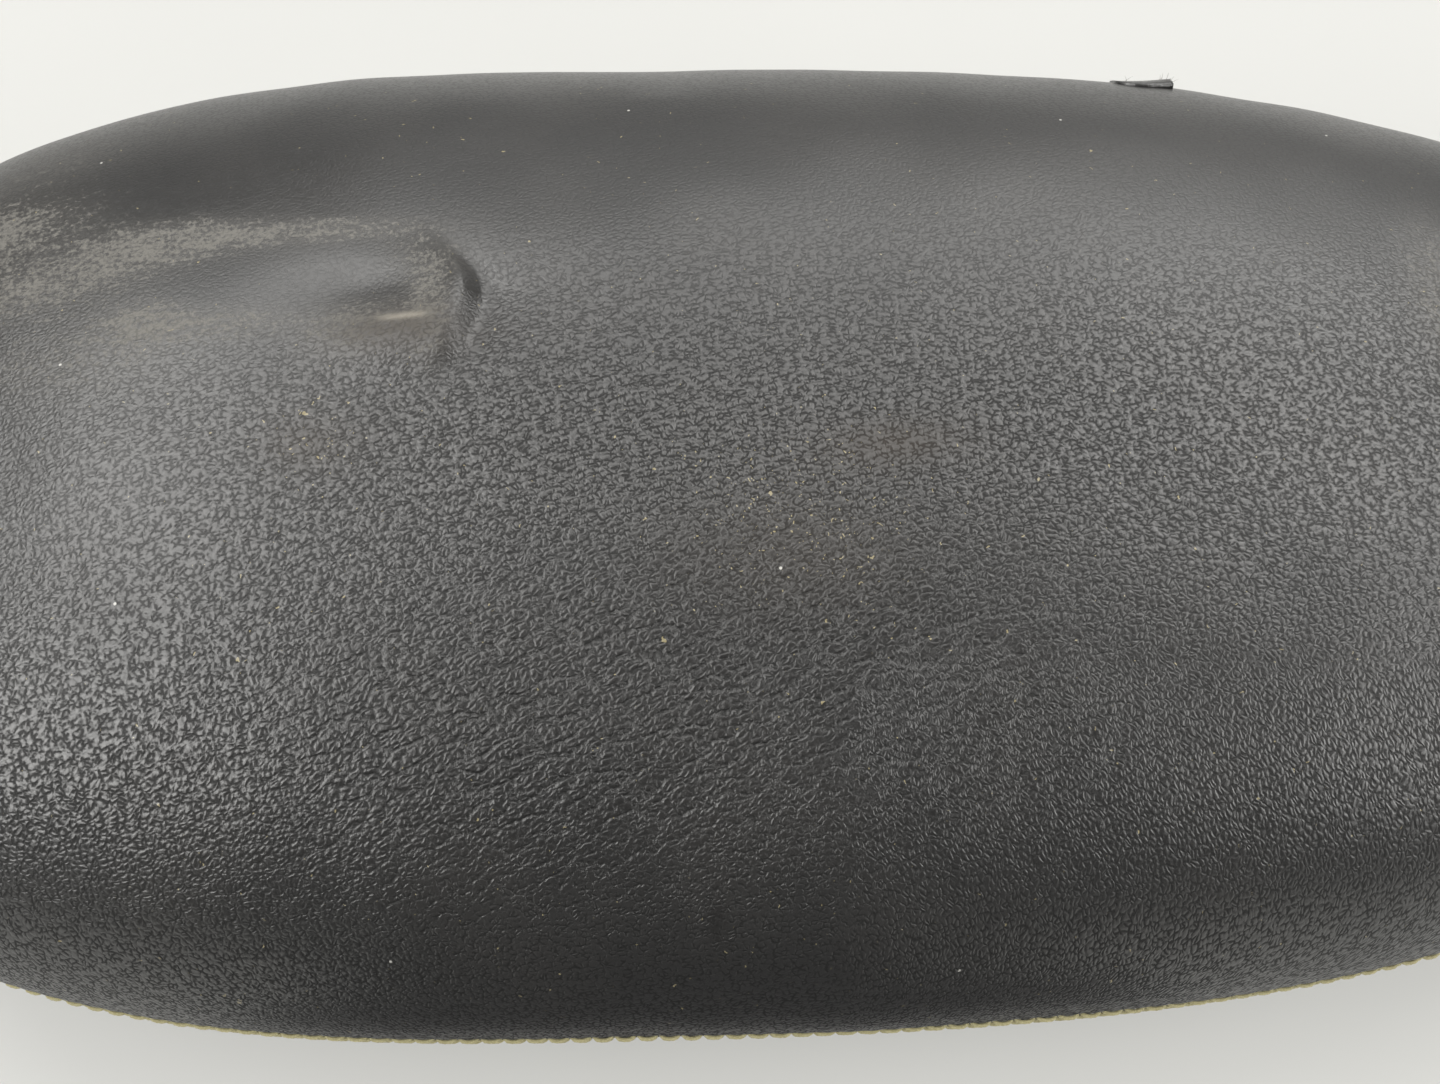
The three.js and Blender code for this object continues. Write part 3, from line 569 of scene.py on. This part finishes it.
def powder_coat_material(name, colour):
    s = Shader(name)
    point = s.millimetres()
    orange_peel = s.noise(point, 1.4, 2.0)
    clouds = s.noise(point, 0.1, 2.0)
    shade = s.mix(s.smooth(clouds, 0.3, 0.7), tuple(c * 0.75 for c in colour), colour)
    return s.finish(
        Base_Color=shade,
        Roughness=s.total(0.38, s.times(clouds, 0.1)),
        Normal=s.bumped(s.times(orange_peel, 0.035)),
    )


def plywood_material(name):
    s = Shader(name)
    point = s.millimetres()
    height = s.node("SeparateXYZ", {"Vector": point}).outputs[2]
    layer = s.math("PINGPONG", s.math("DIVIDE", height, 1.5), 1.0)
    rings = s.noise(s.turned(point, (60.0, 2.2, 9.0), 2), 1.0, 3.0, 0.6)
    face = s.mix(s.smooth(rings, 0.35, 0.65), (0.42, 0.27, 0.14), (0.60, 0.42, 0.25))
    shade = s.mix(s.smooth(layer, 0.3, 0.7, 0.0, 0.35), face, (0.25, 0.14, 0.07))
    return s.finish(Base_Color=shade, Roughness=0.7, Normal=s.bumped(s.times(rings, 0.05)))


LEATHER = leather_material("worn_black_leather", worn=True)
BAND_LEATHER = leather_material("band_leather", worn=False)
THREAD = thread_material("olive_thread", (0.52, 0.48, 0.27), (0.36, 0.32, 0.16))
SOFT_FOAM = foam_material("soft_foam", (0.42, 0.47, 0.53), (0.24, 0.27, 0.31))
CORE_FOAM = foam_material("core_foam", (0.72, 0.66, 0.45), (0.46, 0.41, 0.26))
FLAP_BACK = foam_material("backing_cloth", (0.20, 0.19, 0.17), (0.10, 0.095, 0.085))

NODE_MATERIALS = {
    "plywood": plywood_material("birch_plywood"),
    "tray_plastic": plastic_material("tray_plastic", (0.022, 0.022, 0.023), 0.46, 0.03, 0.45),
    "nylon": plastic_material("filled_nylon", (0.030, 0.030, 0.032), 0.38, 0.012, 0.3),
    "acetal": plastic_material("natural_acetal", (0.78, 0.77, 0.71), 0.30, 0.006, 0.5),
    "black_steel": powder_coat_material("black_powder_coat", (0.022, 0.022, 0.024)),
    "zinc_steel": metal_material("bright_zinc", (0.62, 0.63, 0.66), 0.26, 0.10),
    "spring_steel": metal_material("spring_steel", (0.40, 0.42, 0.46), 0.24, 0.06),
    "bronze": metal_material("sintered_bronze", (0.55, 0.38, 0.18), 0.42, 0.05, mottle=0.3),
    "rubber": plastic_material("black_rubber", (0.018, 0.018, 0.018), 0.72, 0.04, 0.6),
    "thread": THREAD,
    "leather": BAND_LEATHER,
    "soft_foam": SOFT_FOAM,
    "core_foam": CORE_FOAM,
}

for part in frame["record"]["subparts"]:
    node = frame["nodes"][part["node"]]
    node.data.materials.clear()
    node.data.materials.append(NODE_MATERIALS[part["material_slot"]])

# ------------------------------------------------------------------ the leather cover


CLOTH_AROUND = 72
CLOTH_ROWS = 22
CLOTH_INSET = 0.6
CLOTH_SCALE = 10
CLOTH_STEPS = 20
PUFF_SPREAD = 0.6


def puffed():
    """How far a pressurised cloth of the cover's shape, held at its seam, lifts at each grid point, in mm."""
    around = CLOTH_AROUND
    rows = CLOTH_ROWS
    coarse_shares = even_shares(rows)
    coarse_angles = even_angles(around)
    start = CLOTH_INSET
    rings = [crown_ring(share, coarse_angles, start) for share in coarse_shares]
    rings += [wall_ring(height, coarse_angles, start) for height in (32, SEAM_HEIGHT)]
    points = np.concatenate(rings)
    faces = ring_faces(len(rings), around)
    pole = len(points)
    points = np.concatenate([points, [[WIDEST_X, 0, CROWN_TOP - start]]])
    faces += fan(pole, 0, around, True)
    # The cloth is simulated at CLOTH_SCALE times its size, where the solver's steps suit it.
    mesh = bpy.data.meshes.new("cloth")
    mesh.from_pydata((points * MM * CLOTH_SCALE).tolist(), [], faces)
    cloth = bpy.data.objects.new("cloth", mesh)
    bpy.context.scene.collection.objects.link(cloth)
    held = cloth.vertex_groups.new(name="held")
    held.add(list(range((len(rings) - 1) * around, len(rings) * around)), 1.0, "REPLACE")
    modifier = cloth.modifiers.new("Cloth", "CLOTH")
    settings = modifier.settings
    settings.vertex_group_mass = "held"
    settings.use_pressure = True
    settings.uniform_pressure_force = 4.0
    settings.tension_stiffness = 40
    settings.compression_stiffness = 40
    settings.shear_stiffness = 20
    settings.bending_stiffness = 2
    settings.effector_weights.gravity = 0
    modifier.collision_settings.use_collision = False
    modifier.collision_settings.use_self_collision = False
    scene = bpy.context.scene
    for step in range(1, CLOTH_STEPS + 1):
        scene.frame_set(step)
    solved = cloth.evaluated_get(bpy.context.evaluated_depsgraph_get()).to_mesh()
    moved = np.zeros(len(points) * 3)
    solved.vertices.foreach_get("co", moved)
    cloth.evaluated_get(bpy.context.evaluated_depsgraph_get()).to_mesh_clear()
    moved = moved.reshape(-1, 3) / (MM * CLOTH_SCALE)
    scene.frame_set(1)
    bpy.data.objects.remove(cloth)
    grid = points[:-1].reshape(len(rings), around, 3)
    push = (moved[:-1].reshape(len(rings), around, 3) - grid) * normals_of(grid)
    lift = push.sum(axis=2)[:rows]
    return lift, coarse_angles, coarse_shares


def lift_at(angles, shares, lift, coarse_angles, coarse_shares):
    """The cloth's lift on a finer grid. Only its pattern is kept: its size is set by PUFF_SPREAD."""
    around = np.concatenate([lift, lift[:, :1]], axis=1)
    turns = np.concatenate([coarse_angles, [coarse_angles[0] + 2 * np.pi]])
    wide = np.stack([np.interp(angles, turns, row) for row in around])
    fine = np.stack([np.interp(shares, coarse_shares, wide[:, i]) for i in range(len(angles))], 1)
    fine = fine / max(1e-6, np.abs(fine).max())
    return PUFF_SPREAD * (fine - fine.mean()) * (1 - shares[:, None] ** 8)


CROWN_ROWS = 128
around_angles = even_angles(AROUND)
phases = np.arange(AROUND) / SIDES_PER_STITCH
crown_shares = even_shares(CROWN_ROWS)
wall_heights = np.concatenate([np.linspace(35.3, 32.4, 5), np.linspace(32.0, SEAM_HEIGHT + 0.1, 17)])


def cover_rings():
    """The cover's outer surface with all that use and sewing have done to it."""
    rings = [crown_ring(share, around_angles, 0) for share in crown_shares]
    rings += [wall_ring(height, around_angles, 0) for height in wall_heights]
    rings = np.stack(rings)
    normal = normals_of(rings)
    x = rings[..., 0]
    y = rings[..., 1]
    z = rings[..., 2]
    push = soft_hills(x, y) + pinch(x, y) * (z > 60)
    push = push * rise(z, SEAM_HEIGHT, SEAM_HEIGHT + 6)
    push = push + seam_relief(z - SEAM_HEIGHT, phases[None, :]) * (z < WIDEST_HEIGHT)
    puff = lift_at(around_angles, crown_shares, *puffed())
    push[: len(crown_shares)] += puff
    return rings + normal * push[..., None]


def unrolled(points, outer_rows):
    """The cover's skin laid out flat round its middle, in mm, so that grain keeps its size down the sides."""
    offset = points[:, :2] - [WIDEST_X, 0]
    reach = np.linalg.norm(offset, axis=1)
    count = outer_rows * AROUND
    rows = points[:count].reshape(outer_rows, AROUND, 3)
    middle = np.broadcast_to([WIDEST_X, 0, CROWN_TOP], (1, AROUND, 3))
    steps = np.linalg.norm(np.diff(rows, axis=0, prepend=middle), axis=2)
    length = reach.copy()
    length[:count] = np.cumsum(steps, axis=0).ravel()
    flat = offset * (length / np.maximum(reach, 1e-6))[:, None]
    return np.concatenate([flat, np.zeros((len(points), 1))], axis=1)


# Each mark is a soft ellipse: its strength, middle, size and heading.
SCUFFS = [
    (0.4, (-92, 37), (22, 9), 20),
    (1.0, (-95, 24), (14, 5), 6),
    (0.9, (-84, 15), (16, 4.5), 8),
    (0.8, (-71, 20), (9, 3.2), 0),
    (0.8, (-54, 19.5), (14, 2.2), 0),
    (0.9, (-72, 7.5), (5, 2.8), 0),
    (0.6, (-62, 6.5), (7, 2.5), 0),
    (0.5, (-80, 3), (16, 6), 0),
    (1.0, (-47, 5), (6, 3.5), 0),
    (1.1, (-39.5, 6), (2.2, 6), 0),
    (0.6, (-40, 14), (4, 5), 60),
    (0.6, (76, 12), (5, 14), 0),
]
STAINS = [
    (0.9, (-43, 4), (8, 3.2), 0),
    (0.8, (11, -11.5), (7, 3), 5),
    (0.5, (-52, -10), (5, 3.5), 0),
    (0.4, (0, -24), (12, 7), 0),
]
DUST = [(1.0, (0, -20), (11, 8), -35), (0.7, (-51.5, -10), (4.5, 4), 0)]
CREASES = [(1.0, (-24, -40), (34, 17), 12), (0.5, (14, -32), (26, 13), 0)]
WORN_SMOOTH = [
    (0.6, (-79, -10), (30, 24), 0),
    (0.25, (70, -20), (30, 30), 0),
    (0.6, (-54, 12), (24, 11), 0),
]


def marks(x, y, places):
    return sum(strength * blob(x, y, middle, size, heading) for strength, middle, size, heading in places)


def make_cover():
    outer = cover_rings()
    inner_heights = [SEAM_HEIGHT + 0.1, 30, 33]
    inner_shares = [1, 0.992, 0.97, 0.93, 0.87, 0.79, 0.7, 0.6, 0.5, 0.4, 0.3, 0.2, 0.1]
    inner = [wall_ring(height, around_angles, COVER_THICKNESS) for height in inner_heights]
    inner += [crown_ring(share, around_angles, COVER_THICKNESS) for share in inner_shares]
    top = [WIDEST_X, 0, outer[0, :, 2].mean()]
    under = [WIDEST_X, 0, CROWN_TOP - COVER_THICKNESS]
    points, faces = closed_shell(list(outer) + inner, top, under)
    cover = make_piece("leather_top_cover", points, faces, "pad", LEATHER, ["top_cover"])
    x = points[:, 0]
    y = points[:, 1]
    add_attribute(cover, "skin", unrolled(points, len(outer)))
    add_attribute(cover, "side_grain", rise(x, -6, 14) * rise(-y, 26, 44))
    creased = marks(x, y, CREASES)
    add_attribute(cover, "creasing", np.clip(creased, 0, 1))
    # Painted shade on the reflections: dimmer down the lower wall towards the seam and across the creased
    # zone, plus a small dull smear.
    smear = blob(x, y, (-9, -58.4), (0.9, 2.2))
    painted_shade_and_smear = 0.45 * rise(-points[:, 2], -46, -31) + 0.2 * creased + 0.7 * smear
    add_attribute(cover, "painted_shade_and_smear", np.clip(painted_shade_and_smear, 0, 0.95))
    worn_smooth = np.clip(marks(x, y, WORN_SMOOTH), 0, 0.9)
    add_attribute(cover, "grain_depth", (1 - 0.8 * rise(y, -12, 28)) * (1 - worn_smooth))
    add_attribute(cover, "scuffing", np.clip(marks(x, y, SCUFFS), 0, 1))
    bareness = np.exp(-(((x + 42.3) / 2.6) ** 4)) * np.exp(-(((y - 5.5) / 0.45) ** 2))
    add_attribute(cover, "bareness", bareness)
    add_attribute(cover, "staining", np.clip(marks(x, y, STAINS), 0, 1))
    add_attribute(cover, "dusting", np.clip(marks(x, y, DUST) + 0.03, 0, 1))


make_cover()

# ------------------------------------------------------------------ a small torn flap on the far edge

FLAP_X = (44.2, 51.2)
FLAP_STEPS = 26
FLAP_ROWS = 7
FLAP_LIFT = 0.95
FLAP_WIDTH = 4.6
FLAP_SHARE = 0.905


def skin_place(x, share):
    """The cover's surface, and its normal, on the +Y side at this x, on the ring at this share."""
    ring = crown_ring(share, np.linspace(0.2, 2.6, 4001), 0)
    i = int(np.argmin(np.abs(ring[:, 0] - x)))
    step = crown_ring(share - 0.004, np.linspace(0.2, 2.6, 4001), 0)[i] - ring[i]
    along = ring[i + 1] - ring[i]
    normal = np.cross(along, -step)
    normal /= np.linalg.norm(normal)
    return ring[i], normal if normal[2] > 0 else -normal


def make_flap():
    """A sliver of the leather's face, lifted most at its front end, where it is torn off square."""
    random = np.random.default_rng(41)
    jagged = random.uniform(-0.22, 0.22, FLAP_ROWS)
    upper = []
    lower = []
    for i in range(FLAP_STEPS):
        share = i / (FLAP_STEPS - 1)
        lift = FLAP_LIFT * share**1.7
        for k in range(FLAP_ROWS):
            side = k / (FLAP_ROWS - 1)
            x = FLAP_X[0] + (FLAP_X[1] - FLAP_X[0]) * share + jagged[k] * share**6
            width = FLAP_WIDTH / HALF_WIDTH * (side - 0.5) * (0.55 + 0.45 * math.sin(math.pi * share**0.7))
            place, normal = skin_place(x, FLAP_SHARE + width)
            arch = 1 - (2 * side - 1) ** 2
            upper.append(place + normal * (0.22 + lift * (0.45 + 0.55 * arch)))
            lower.append(place + normal * (lift * (0.45 + 0.55 * arch) - 0.4))
    points = upper + lower
    half = len(upper)
    faces = []
    for i in range(FLAP_STEPS - 1):
        for k in range(FLAP_ROWS - 1):
            a = i * FLAP_ROWS + k
            quad = [a, a + FLAP_ROWS, a + 1 + FLAP_ROWS, a + 1]
            faces.append(quad)
            faces.append([half + v for v in reversed(quad)])
    rim = list(range(FLAP_ROWS))
    rim += [i * FLAP_ROWS + FLAP_ROWS - 1 for i in range(1, FLAP_STEPS)]
    rim += [(FLAP_STEPS - 1) * FLAP_ROWS + k for k in range(FLAP_ROWS - 2, -1, -1)]
    rim += [i * FLAP_ROWS for i in range(FLAP_STEPS - 2, 0, -1)]
    for a, b in zip(rim, rim[1:] + rim[:1]):
        faces.append([a, b, half + b, half + a])
    flap = make_piece("torn_leather_flap", points, faces, "pad", LEATHER)
    flat = np.array(points)
    add_attribute(flap, "skin", np.stack([flat[:, 0], flat[:, 1], 0 * flat[:, 2]], 1))
    add_attribute(flap, "grain_depth", np.full(len(points), 0.3))


def make_fibres():
    """Loose fibres that stand out of the tear."""
    random = np.random.default_rng(43)
    points = []
    faces = []
    sides = 5
    for i in range(9):
        root_x = FLAP_X[1] + random.uniform(-1.6, 0.4) if i < 7 else FLAP_X[0] + 1.5
        root, normal = skin_place(root_x, FLAP_SHARE + random.uniform(-0.012, 0.014))
        root = root + normal * (0.6 if i < 7 else 0.0)
        lean = np.array([random.uniform(0.1, 1.0), random.uniform(0.0, 0.7), random.uniform(0.1, 0.6)])
        length = random.uniform(0.7, 1.7)
        curl = random.uniform(-0.5, 0.5)
        start = len(points)
        for k in range(6):
            t = k / 5
            centre = root + lean * length * t + np.array([curl, -curl, 0.3]) * t * t
            radius = 0.035 * (1 - 0.7 * t)
            for n in range(sides):
                turn = 2 * math.pi * n / sides
                points.append(centre + radius * np.array([math.cos(turn), math.sin(turn), 0]))
        for k in range(5):
            for n in range(sides):
                a = start + k * sides + n
                b = start + k * sides + (n + 1) % sides
                faces.append([a, b, b + sides, a + sides])
        faces.append([start + n for n in reversed(range(sides))])
        faces.append([start + 5 * sides + n for n in range(sides)])
    make_piece("torn_flap_fibres", points, faces, "pad", FLAP_BACK)


make_flap()
make_fibres()

# ------------------------------------------------------------------ the band below the seam

BAND_PROFILE = [
    (1.6, 27.9),
    (1.62, 27.6),
    (1.68, 27.3),
    (1.75, 27.0),
    (1.84, 26.7),
    (1.96, 26.4),
    (2.1, 26.1),
    (2.4, 25.7),
    (2.75, 25.2),
    (3.1, 24.6),
    (3.5, 23.9),
    (4.1, 23.3),
    (5.0, 22.8),
    (6.2, 22.55),
    (8.0, BAND_BOTTOM),
    (12.0, BAND_BOTTOM),
    (16.0, BAND_BOTTOM),
]
BAND_BACK = [(16.0, 23.7), (7.2, 23.7), (5.7, 23.95), (4.6, 24.7), (3.7, 26.2), (3.1, 27.9)]


BAND_STITCH_PITCH = 2.4


def make_band():
    outer = np.stack([flat_ring(inset, height, around_angles) for inset, height in BAND_PROFILE])
    normal = normals_of(outer)
    z = outer[..., 2]
    pleats = 0.16 * waves(phases * BAND_STITCH_PITCH + 0 * z, z * 1.5, 7, seed=21) * bump_at(z, 23.4, 1.2)
    push = seam_relief(z - SEAM_HEIGHT, phases[None, :]) * rise(z, 24, 26) + pleats
    outer = outer + normal * push[..., None]
    back = [flat_ring(inset, height, around_angles) for inset, height in BAND_BACK]
    rings = np.stack(list(outer) + back)
    points, faces = closed_shell(list(rings))
    band = make_piece("leather_lower_band", points, faces, "pad", BAND_LEATHER, ["lower_band"])
    girth = np.broadcast_to(phases * BAND_STITCH_PITCH, rings.shape[:2])
    drop = np.cumsum(np.linalg.norm(np.diff(rings, axis=0, prepend=rings[:1]), axis=2), axis=0)
    add_attribute(band, "skin", np.stack([girth, drop, 0 * drop], 2).reshape(-1, 3))
    add_attribute(band, "creasing", np.full(len(points), 0.2))
    add_attribute(band, "side_grain", np.zeros(len(points)))
    add_attribute(band, "grain_depth", np.full(len(points), 0.8))


make_band()

# ------------------------------------------------------------------ the two rows of stitches

STITCH_STEPS = 14
STITCH_SIDES = 8


def stitch_row(name, node, height, inset, sag, seed):
    """One mesh of separate stitches. Each dips into a needle hole at both ends and hangs a little between."""
    random = np.random.default_rng(seed)
    share = np.linspace(0, 1, STITCH_STEPS)
    points = []
    faces = []
    for i in range(STITCH_COUNT):
        slack = random.uniform(0.75, 1.25)
        tilt = random.uniform(-0.07, 0.07)
        drop = random.uniform(-0.04, 0.04)
        along = i + 0.06 + share * 0.88
        angle = np.interp(along, np.arange(AROUND + 1) / SIDES_PER_STITCH, [*around_angles, 2 * np.pi])
        dive = 1 - np.abs(2 * share - 1) ** 5
        out = -0.42 + 0.60 * dive + 0.05 * np.sin(np.pi * share)
        x, y = plan(angle, inset - out)
        z = height - sag * slack * np.sin(np.pi * share) + tilt * (share - 0.5) + drop
        middle = np.stack([x, y, z], 1)
        ahead = np.gradient(middle, axis=0)
        ahead /= np.linalg.norm(ahead, axis=1, keepdims=True)
        side = np.cross(ahead, [0, 0, 1.0])
        side /= np.linalg.norm(side, axis=1, keepdims=True)
        up = np.cross(side, ahead)
        start = len(points)
        for k in range(STITCH_STEPS):
            for n in range(STITCH_SIDES):
                turn = 2 * math.pi * n / STITCH_SIDES
                ply = 1 + 0.13 * math.cos(2 * turn + 9 * share[k] * math.pi)
                radius = THREAD_RADIUS * ply
                points.append(middle[k] + radius * (math.cos(turn) * side[k] + math.sin(turn) * up[k]))
        for k in range(STITCH_STEPS - 1):
            for n in range(STITCH_SIDES):
                a = start + k * STITCH_SIDES + n
                b = start + k * STITCH_SIDES + (n + 1) % STITCH_SIDES
                faces.append([a, a + STITCH_SIDES, b + STITCH_SIDES, b])
        faces.append([start + n for n in range(STITCH_SIDES)])
        last = start + (STITCH_STEPS - 1) * STITCH_SIDES
        faces.append([last + n for n in reversed(range(STITCH_SIDES))])
    make_piece(name, points, faces, "pad", THREAD, [node])


upper = SEAM_HEIGHT + STITCH_ROW_OFFSET
lower = SEAM_HEIGHT - STITCH_ROW_OFFSET
stitch_row("stitches_upper", "topstitch_upper", upper + 0.1, wall_tuck(upper), 0.26, seed=5)
stitch_row("stitches_lower", "topstitch_lower", lower + 0.1, SEAM_TUCK + 0.5, 0.2, seed=6)

# ------------------------------------------------------------------ foam under the leather

FOAM_AROUND = 172
foam_angles = even_angles(FOAM_AROUND)
foam_shares = even_shares(26)


def rough_cut(rings, seed):
    rings = np.stack(rings)
    lumps = 0.12 * waves(rings[..., 0], rings[..., 1] + rings[..., 2], 9, seed=seed)
    return list(rings - normals_of(rings) * (0.12 + lumps)[..., None])


def make_comfort_foam():
    skin = COVER_THICKNESS + COVER_GAP
    below = skin + COMFORT_THICKNESS
    outer = [crown_ring(share, foam_angles, skin) for share in foam_shares]
    outer += [flat_ring(SEAM_TUCK + skin, SEAM_HEIGHT, foam_angles), flat_ring(5.2, 25.2, foam_angles)]
    outer = rough_cut(outer, 31)
    wall = BOARD_INSET - COVER_GAP
    inner = [flat_ring(wall, 25.2, foam_angles), flat_ring(wall, WIDEST_HEIGHT + COVER_GAP, foam_angles)]
    inner.append(flat_ring(below, WIDEST_HEIGHT + COVER_GAP, foam_angles))
    inner += [crown_ring(share, foam_angles, below) for share in foam_shares[-2::-1]]
    top = [WIDEST_X, 0, CROWN_TOP - skin - 0.15]
    under = [WIDEST_X, 0, CROWN_TOP - below]
    points, faces = closed_shell(outer + inner, top, under)
    foam = make_piece("comfort_foam_layer", points, faces, "pad", SOFT_FOAM, ["comfort_foam"])


def make_foam_core():
    depth = COVER_THICKNESS + 2 * COVER_GAP + COMFORT_THICKNESS
    outer = rough_cut([crown_ring(share, foam_angles, depth) for share in foam_shares], 32)
    outer.append(flat_ring(depth + 0.2, WIDEST_HEIGHT + 0.05, foam_angles, 0.5))
    top = [WIDEST_X, 0, CROWN_TOP - depth - 0.15]
    under = [WIDEST_X, 0, WIDEST_HEIGHT + 0.05]
    points, faces = closed_shell(outer, top, under)
    foam = make_piece("firm_foam_core", points, faces, "pad", CORE_FOAM, ["foam_core"])


make_comfort_foam()
make_foam_core()

# ------------------------------------------------------------------ camera, floor and lights

CAMERA_TARGET = Vector((-7.86, -17.71, 60)) * MM
CAMERA_DISTANCE = 240.07 * MM
CAMERA_ELEVATION = math.radians(59)
CAMERA_YAW = math.radians(-1.15)


def add_camera():
    back = Vector(
        (
            math.sin(CAMERA_YAW) * math.cos(CAMERA_ELEVATION),
            -math.cos(CAMERA_YAW) * math.cos(CAMERA_ELEVATION),
            math.sin(CAMERA_ELEVATION),
        )
    )
    data = bpy.data.cameras.new("camera")
    data.lens = 55
    data.sensor_width = 36
    data.clip_start = 0.01
    data.clip_end = 50
    camera = bpy.data.objects.new("camera", data)
    bpy.context.scene.collection.objects.link(camera)
    camera.location = CAMERA_TARGET + back * CAMERA_DISTANCE
    camera.rotation_euler = (-back).to_track_quat("-Z", "Y").to_euler()
    bpy.context.scene.camera = camera


def floor_material():
    s = Shader("pale_floor")
    point = s.millimetres()
    clouds = s.noise(point, 0.006, 3.0)
    shade = s.mix(s.smooth(clouds, 0.3, 0.7), (0.305, 0.305, 0.298), (0.32, 0.32, 0.312))
    # Painted light: the floor glows more in front of the pad than behind it, lifting the pad's shadow there,
    # and glows more again far off.
    reach = s.node("VectorMath", {0: point}, operation="LENGTH")
    y = s.node("SeparateXYZ", {"Vector": point}).outputs[1]
    near = s.smooth(y, -100, 80, 0.37, 0.26)
    far = s.math("MAXIMUM", near, s.smooth(reach.outputs["Value"], 500, 1800, 0.0, 0.80))
    glow = s.mix(far, (0.0, 0.0, 0.0), (1.0, 1.0, 0.95))
    return s.finish(Base_Color=shade, Roughness=0.7, Emission_Color=glow, Emission_Strength=1.0)


# In metres. The floor lies just below the plate, so that the two faces don't coincide.
FLOOR_HALF = 6.0
FLOOR_LEVEL = -0.0002


def add_floor():
    mesh = bpy.data.meshes.new("floor")
    half = FLOOR_HALF
    ends = [(-half, -half), (half, -half), (half, half), (-half, half)]
    corners = [(x, y, FLOOR_LEVEL) for x, y in ends]
    mesh.from_pydata(corners, [], [[0, 1, 2, 3]])
    mesh.materials.append(floor_material())
    floor = bpy.data.objects.new("floor", mesh)
    bpy.context.scene.collection.objects.link(floor)


def add_dim_board():
    """A dim board in front of the pad, seen only in reflections, so that the front wall stays dark."""
    s = Shader("dim_board")
    material = s.finish(
        Base_Color=(0.02, 0.02, 0.02),
        Emission_Color=(1.0, 1.0, 1.0, 1.0),
        Emission_Strength=0.12,
    )
    profile = [(-0.068, 0.001), (-0.135, 0.001), (-0.16, 0.11)]
    corners = [(x, y, z) for y, z in profile for x in (-0.07, 0.05)]
    mesh = bpy.data.meshes.new("dim_board")
    mesh.from_pydata(corners, [], [[0, 1, 3, 2], [2, 3, 5, 4]])
    mesh.materials.append(material)
    board = bpy.data.objects.new("dim_board", mesh)
    bpy.context.scene.collection.objects.link(board)
    board.visible_camera = False
    board.visible_diffuse = False
    board.visible_shadow = False


LIGHT_DISTANCE = 1.5

# Name, azimuth, elevation, width and height in degrees, and brightness.
SOFT_BOXES = [
    ("right_rear", 55, 46, 36, 28, 2.9),
    ("right_rear_side", 30, 50, 28, 28, 3.1),
    ("right_rear_low", 60, 26, 30, 20, 1.0),
    ("rear", 88, 34, 30, 30, 0.7),
    ("rear_high", 100, 50, 26, 24, 1.3),
    ("rear_low", 85, 12, 70, 20, 0.4),
    ("left_rear", 125, 56, 44, 26, 1.7),
    ("left_rear_key", 138, 46, 26, 26, 3.0),
    ("left", 165, 62, 30, 24, 2.8),
    ("left_high", 180, 73, 40, 12, 1.2),
    ("left_side", 190, 48, 24, 24, 3.6),
    ("left_front", 214, 50, 26, 24, 4.9),
    ("left_low", 210, 32, 30, 20, 4.8),
    ("right_low", 0, 20, 40, 20, 4.8),
    ("right_front", 342, 34, 28, 30, 4.2),
    ("right_front_edge", 318, 28, 18, 22, 2.6),
]


def add_soft_box(name, azimuth, elevation, width, height, brightness):
    """A soft box that faces the pad. Its place and size are angles in degrees, seen from the pad."""
    turn = math.radians(azimuth)
    tilt = math.radians(elevation)
    place = Vector((math.cos(tilt) * math.cos(turn), math.cos(tilt) * math.sin(turn), math.sin(tilt)))
    data = bpy.data.lights.new(name, "AREA")
    data.shape = "RECTANGLE"
    data.size = 2 * LIGHT_DISTANCE * math.tan(math.radians(width / 2))
    data.size_y = 2 * LIGHT_DISTANCE * math.tan(math.radians(height / 2))
    data.energy = brightness * math.pi * data.size * data.size_y
    data.color = (1.0, 0.99, 0.965)
    light = bpy.data.objects.new(name, data)
    bpy.context.scene.collection.objects.link(light)
    light.location = place * LIGHT_DISTANCE + Vector((0, 0, 0.05))
    light.rotation_euler = place.to_track_quat("Z", "Y").to_euler()
    light.visible_camera = False


def add_world():
    """The camera sees a pale room; everything else sees a dim one, so that the soft boxes do the lighting."""
    world = bpy.data.worlds.new("soft_room")
    world.use_nodes = True
    nodes = world.node_tree.nodes
    links = world.node_tree.links
    dim = nodes["Background"]
    dim.inputs["Color"].default_value = (1.0, 1.0, 1.0, 1.0)
    dim.inputs["Strength"].default_value = 0.03
    pale = nodes.new("ShaderNodeBackground")
    pale.inputs["Color"].default_value = (0.86, 0.86, 0.84, 1.0)
    path = nodes.new("ShaderNodeLightPath")
    choice = nodes.new("ShaderNodeMixShader")
    links.new(path.outputs["Is Camera Ray"], choice.inputs["Fac"])
    links.new(dim.outputs["Background"], choice.inputs[1])
    links.new(pale.outputs["Background"], choice.inputs[2])
    links.new(choice.outputs["Shader"], nodes["World Output"].inputs["Surface"])
    bpy.context.scene.world = world


add_camera()
add_floor()
add_dim_board()
add_world()
for soft_box in SOFT_BOXES:
    add_soft_box(*soft_box)
bpy.context.scene.view_settings.view_transform = "Standard"
